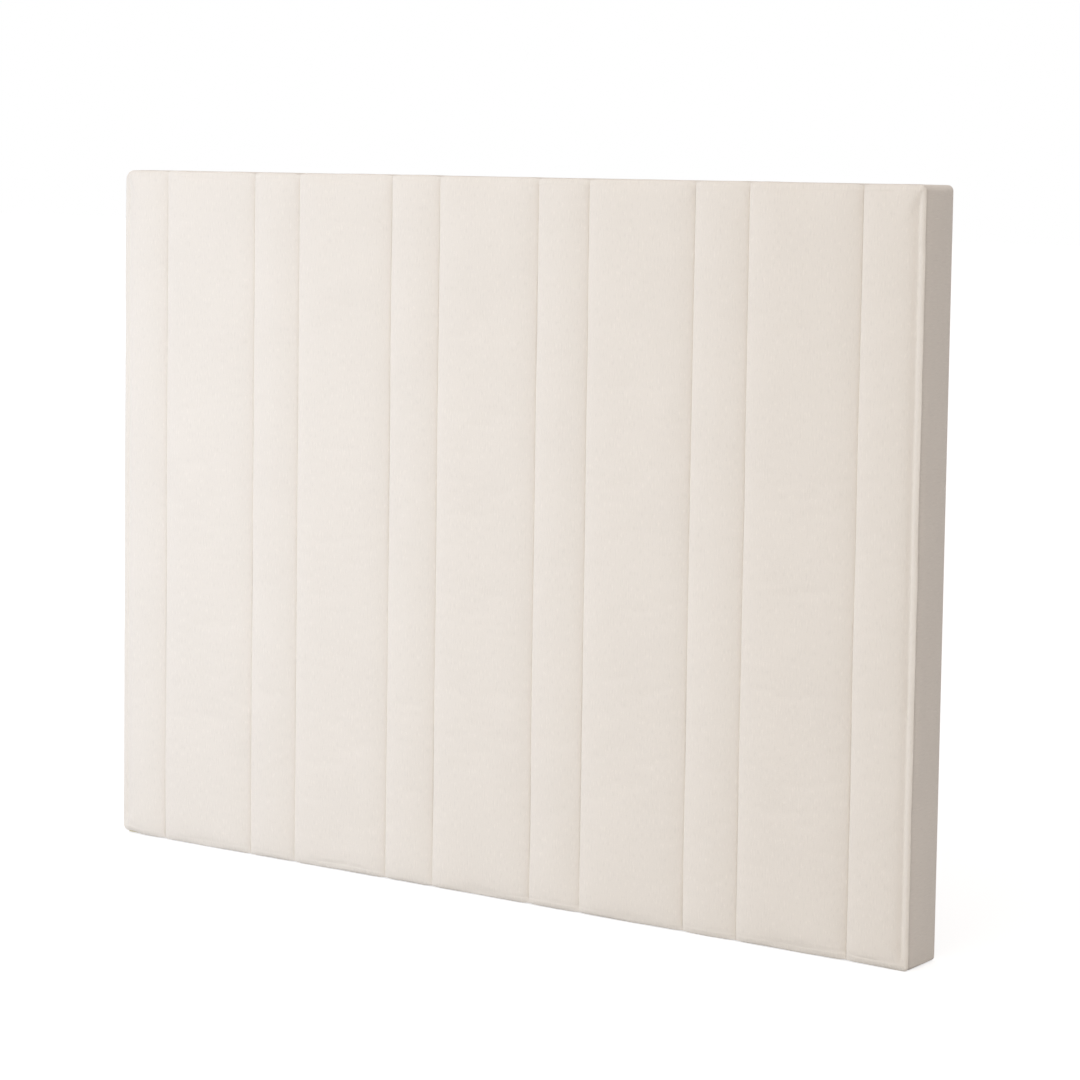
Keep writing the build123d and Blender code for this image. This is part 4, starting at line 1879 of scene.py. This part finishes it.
@dataclass
class BedInserts:
    """The four threaded inserts that take the bolts of a bed."""

    finish: Finish
    back: float = 0.048
    outer: float = 0.006
    bore: float = 0.0034
    length: float = 0.02
    turns: int = 8
    bore_turns: int = 16
    sides: int = 40

    def section(self) -> list[tuple[float, float]]:
        """Gives the cross-section, round the outside and back through the bore.

        Returns:
            The radius and depth of each point.
        """
        outer, bore, end = self.outer, self.bore, -self.length
        points = [(bore + 0.0007, 0.0), (outer - 0.0003, 0.0), (outer, -0.0003), (outer, -0.0016)]
        pitch = (self.length - 0.004) / self.turns
        for turn in range(self.turns):
            start = -0.0022 - turn * pitch
            points += [(outer - 0.0011, start), (outer - 0.0011, start - 0.3 * pitch)]
            points += [(outer - 0.0001, start - 0.62 * pitch), (outer - 0.0001, start - 0.72 * pitch)]
        points += [(outer - 0.0014, end + 0.0010), (outer - 0.0018, end)]
        points += [(bore + 0.0004, end), (bore, end + 0.0006)]
        pitch = (self.length - 0.0016) / self.bore_turns
        for turn in range(self.bore_turns):
            start = end + 0.0008 + turn * pitch
            points += [(bore, start + 0.15 * pitch), (bore + 0.0004, start + 0.5 * pitch)]
            points += [(bore, start + 0.85 * pitch)]
        return points + [(bore, -0.0007)]

    def build(self) -> Piece:
        """Builds the inserts in their seats.

        Returns:
            The finished inserts as one piece.
        """
        section = self.section()
        angles = [number / self.sides * 2 * math.pi for number in range(self.sides)]
        points = [(r * math.cos(a), depth, r * math.sin(a)) for r, depth in section for a in angles]
        one = mesh_object("insert_one", np.array(points), ring_faces(len(section), self.sides, True))
        face_outwards(one)
        low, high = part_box("bed_inserts")
        across, up = [(low[axis] + self.outer, high[axis] - self.outer) for axis in (0, 2)]
        places = [(x, self.back, z) for x in across for z in up]
        piece = mesh_object("bed_insert_sleeves", np.array(places), [])
        made = Tree("insert_places", {}, ("Insert",))
        tree = made.repeat(made.inputs["Shape"], "Insert")
        grow(piece, tree, {"Insert": one, "Finish": self.finish})
        bpy.data.objects.remove(one)
        declare(piece, "zinc_steel", "bed_inserts")
        return piece


@dataclass
class Carcass:
    """The timber frame, its board and its fixings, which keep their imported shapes."""

    upright: tuple[str, ...] = ("left_stile", "right_stile", "left_post", "right_post")
    across: tuple[str, ...] = ("top_rail", "bottom_rail")
    cross: tuple[str, ...] = ("cross_rail_left", "cross_rail_centre", "cross_rail_right")
    blocks: tuple[str, ...] = tuple(
        f"corner_block_{level}_{side}" for level in ("bottom", "top") for side in ("left", "right")
    )

    def dress(self, zinc: Finish, steel: Finish) -> None:
        """Gives every carried-over node its finish.

        Args:
            zinc: Finish of the screws.
            steel: Finish of the nails.
        """
        dowel = PineFinish((0.66, 0.50, 0.32), (0.50, 0.36, 0.20), 0.003)
        finishes = [
            (self.upright, PineFinish().build("pine_upright", True)),
            (self.across + self.cross + self.blocks, PineFinish().build("pine_across", False)),
            (("cross_rail_dowels",), dowel.build("dowel", False)),
            (("front_board",), PlywoodFinish().build("plywood")),
            (("frame_screws",), zinc),
            (("board_nails",), steel),
        ]
        for names, finish in finishes:
            for name in names:
                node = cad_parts[name]
                if not node.material_slots:
                    node.data.materials.append(finish)
                for slot in node.material_slots:
                    slot.material = finish
                log.info("%s keeps its shape, in %s", name, finish.name)


@dataclass(frozen=True)
class Lamp:
    """A soft square lamp, with its power in watts and its linear colour."""

    name: str
    place: Triple
    target: Triple
    size: float
    power: float
    colour: Colour

    def build(self) -> None:
        """Hangs the lamp in its place and points it at its target."""
        data = bpy.data.lights.new(self.name, "AREA")
        data.size = self.size
        data.energy = self.power
        data.color = self.colour
        way = (Vector(self.target) - Vector(self.place)).to_track_quat("-Z", "Y")
        add_object(self.name, data).matrix_world = Matrix.Translation(self.place) @ way.to_matrix().to_4x4()


@dataclass
class Studio:
    """The plain floor, soft lights and the camera."""

    camera_place: Triple = (2.948, -4.198, 1.231)
    azimuth: float = 34.38
    pitch: float = -4.65
    roll: float = 0.83
    lens: float = 103.13
    sensor: float = 36.0
    shift_up: float = -0.12
    sight: float = 200.0
    world_strength: float = 0.739
    world_colour: Colour = (1.0, 0.945, 0.915)
    floor_half: float = 40.0
    floor_tone: float = 0.5
    floor_glow: float = 0.70
    floor_roughness: float = 0.9
    lamps: tuple[Lamp, ...] = (
        Lamp("key", (-1.6, -2.6, 0.85), (-0.2, 0.0, 0.6), 1.6, 39.0, (0.735, 0.842, 1.0)),
        Lamp("front", (0.7, -4.7, 0.9), (0.3, 0.0, 0.6), 2.4, 53.0, (1.0, 0.930, 0.78)),
        Lamp("top", (0.0, 0.2, 2.3), (0.0, 0.0, 1.2), 1.6, 2.0, (0.96, 0.97, 1.0)),
    )

    def camera(self) -> None:
        """Sets the camera at the photograph's viewing angle."""
        data = bpy.data.cameras.new("camera")
        data.lens = self.lens
        data.sensor_width = self.sensor
        data.shift_y = self.shift_up
        data.clip_end = self.sight
        turn, lift, lean = (math.radians(angle) for angle in (self.azimuth, self.pitch, self.roll))
        forward = Vector((-math.sin(turn) * math.cos(lift), math.cos(turn) * math.cos(lift), math.sin(lift)))
        right = forward.cross(Vector((0.0, 0.0, 1.0))).normalized()
        up = right.cross(forward)
        across = math.cos(lean) * right + math.sin(lean) * up
        upright = -math.sin(lean) * right + math.cos(lean) * up
        eye = add_object("camera", data)
        turned = Matrix((across, upright, -forward)).transposed()
        eye.matrix_world = Matrix.Translation(self.camera_place) @ turned.to_4x4()
        bpy.context.scene.camera = eye

    def world(self) -> None:
        """Sets an even pale surround that the camera sees as white."""
        world = bpy.data.worlds.new("surround")
        bpy.context.scene.world = world
        world.use_nodes = True
        sky = Nodes(world.node_tree)
        ground = sky.tree.nodes["Background"].inputs
        ray = sky.node("ShaderNodeLightPath").outputs
        clear = sky.math("MAXIMUM", ray["Is Glossy Ray"], ray["Is Transmission Ray"])
        seen = sky.math("MAXIMUM", ray["Is Camera Ray"], clear)
        strength = sky.node("ShaderNodeMapRange", {0: seen, 3: self.world_strength, 4: 1.0})
        sky.feed(ground["Strength"], strength.outputs[0])
        sky.feed(ground["Color"], sky.blend(seen, tone(self.world_colour), WHITE))

    def floor(self) -> None:
        """Lays a white floor that keeps the soft shadow of the board."""
        size = self.floor_half
        corners = np.array([(-size, -size, 0.0), (size, -size, 0.0), (size, size, 0.0), (-size, size, 0.0)])
        piece = mesh_object("floor", corners, [[0, 1, 2, 3]])
        shade = Shade("floor")
        surface = shade.surface.inputs
        ray = shade.node("ShaderNodeLightPath").outputs
        seen = shade.math("MAXIMUM", ray["Is Camera Ray"], ray["Is Glossy Ray"])
        surface["Base Color"].default_value = tone((self.floor_tone,) * 3)
        surface["Roughness"].default_value = self.floor_roughness
        surface["Specular IOR Level"].default_value = 0.0
        surface["Emission Color"].default_value = WHITE
        shade.feed(surface["Emission Strength"], shade.math("MULTIPLY", seen, self.floor_glow))
        piece.data.materials.append(shade.material)

    def build(self) -> None:
        """Sets up the camera, lights, surround and floor."""
        self.camera()
        self.world()
        self.floor()
        for lamp in self.lamps:
            lamp.build()
        bpy.context.scene.view_settings.view_transform = "Standard"


def main() -> None:
    """Builds the headboard's pieces in order."""
    logging.basicConfig(level=logging.INFO, format="%(message)s")
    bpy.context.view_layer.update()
    Studio().build()
    cloth = ClothFinish().build("cover_cloth_cream")
    thread = ClothFinish(colour=(0.80, 0.745, 0.675), yarn_pitch=0.0004, slub_tone=0.02).build("thread_cream")
    spun = SpunFinish().build("lining_black")
    foam = FoamFinish((0.78, 0.70, 0.50), 0.0012, 0.0005).build("foam_pale")
    wadding = FoamFinish((0.85, 0.85, 0.83), 0.0028, 0.0009).build("wadding_white")
    wire = SteelFinish((0.58, 0.57, 0.55), 0.32, 0.004).build("steel_wire_bright")
    zinc = SteelFinish((0.62, 0.62, 0.60), 0.38, 0.003).build("zinc_plated")
    outline = Outline()
    Carcass().dress(zinc, wire)
    face = QuiltedFace(outline, cloth)
    face.build()
    SeamStitches(face, thread).build()
    edge = EdgeCover(outline, cloth, face.edges[1:-1])
    edge.build()
    Fillings(foam, wadding, edge).build()
    BackLining(outline, spun, wire).build()
    BedInserts(zinc).build()


if __name__ == "__main__":
    main()
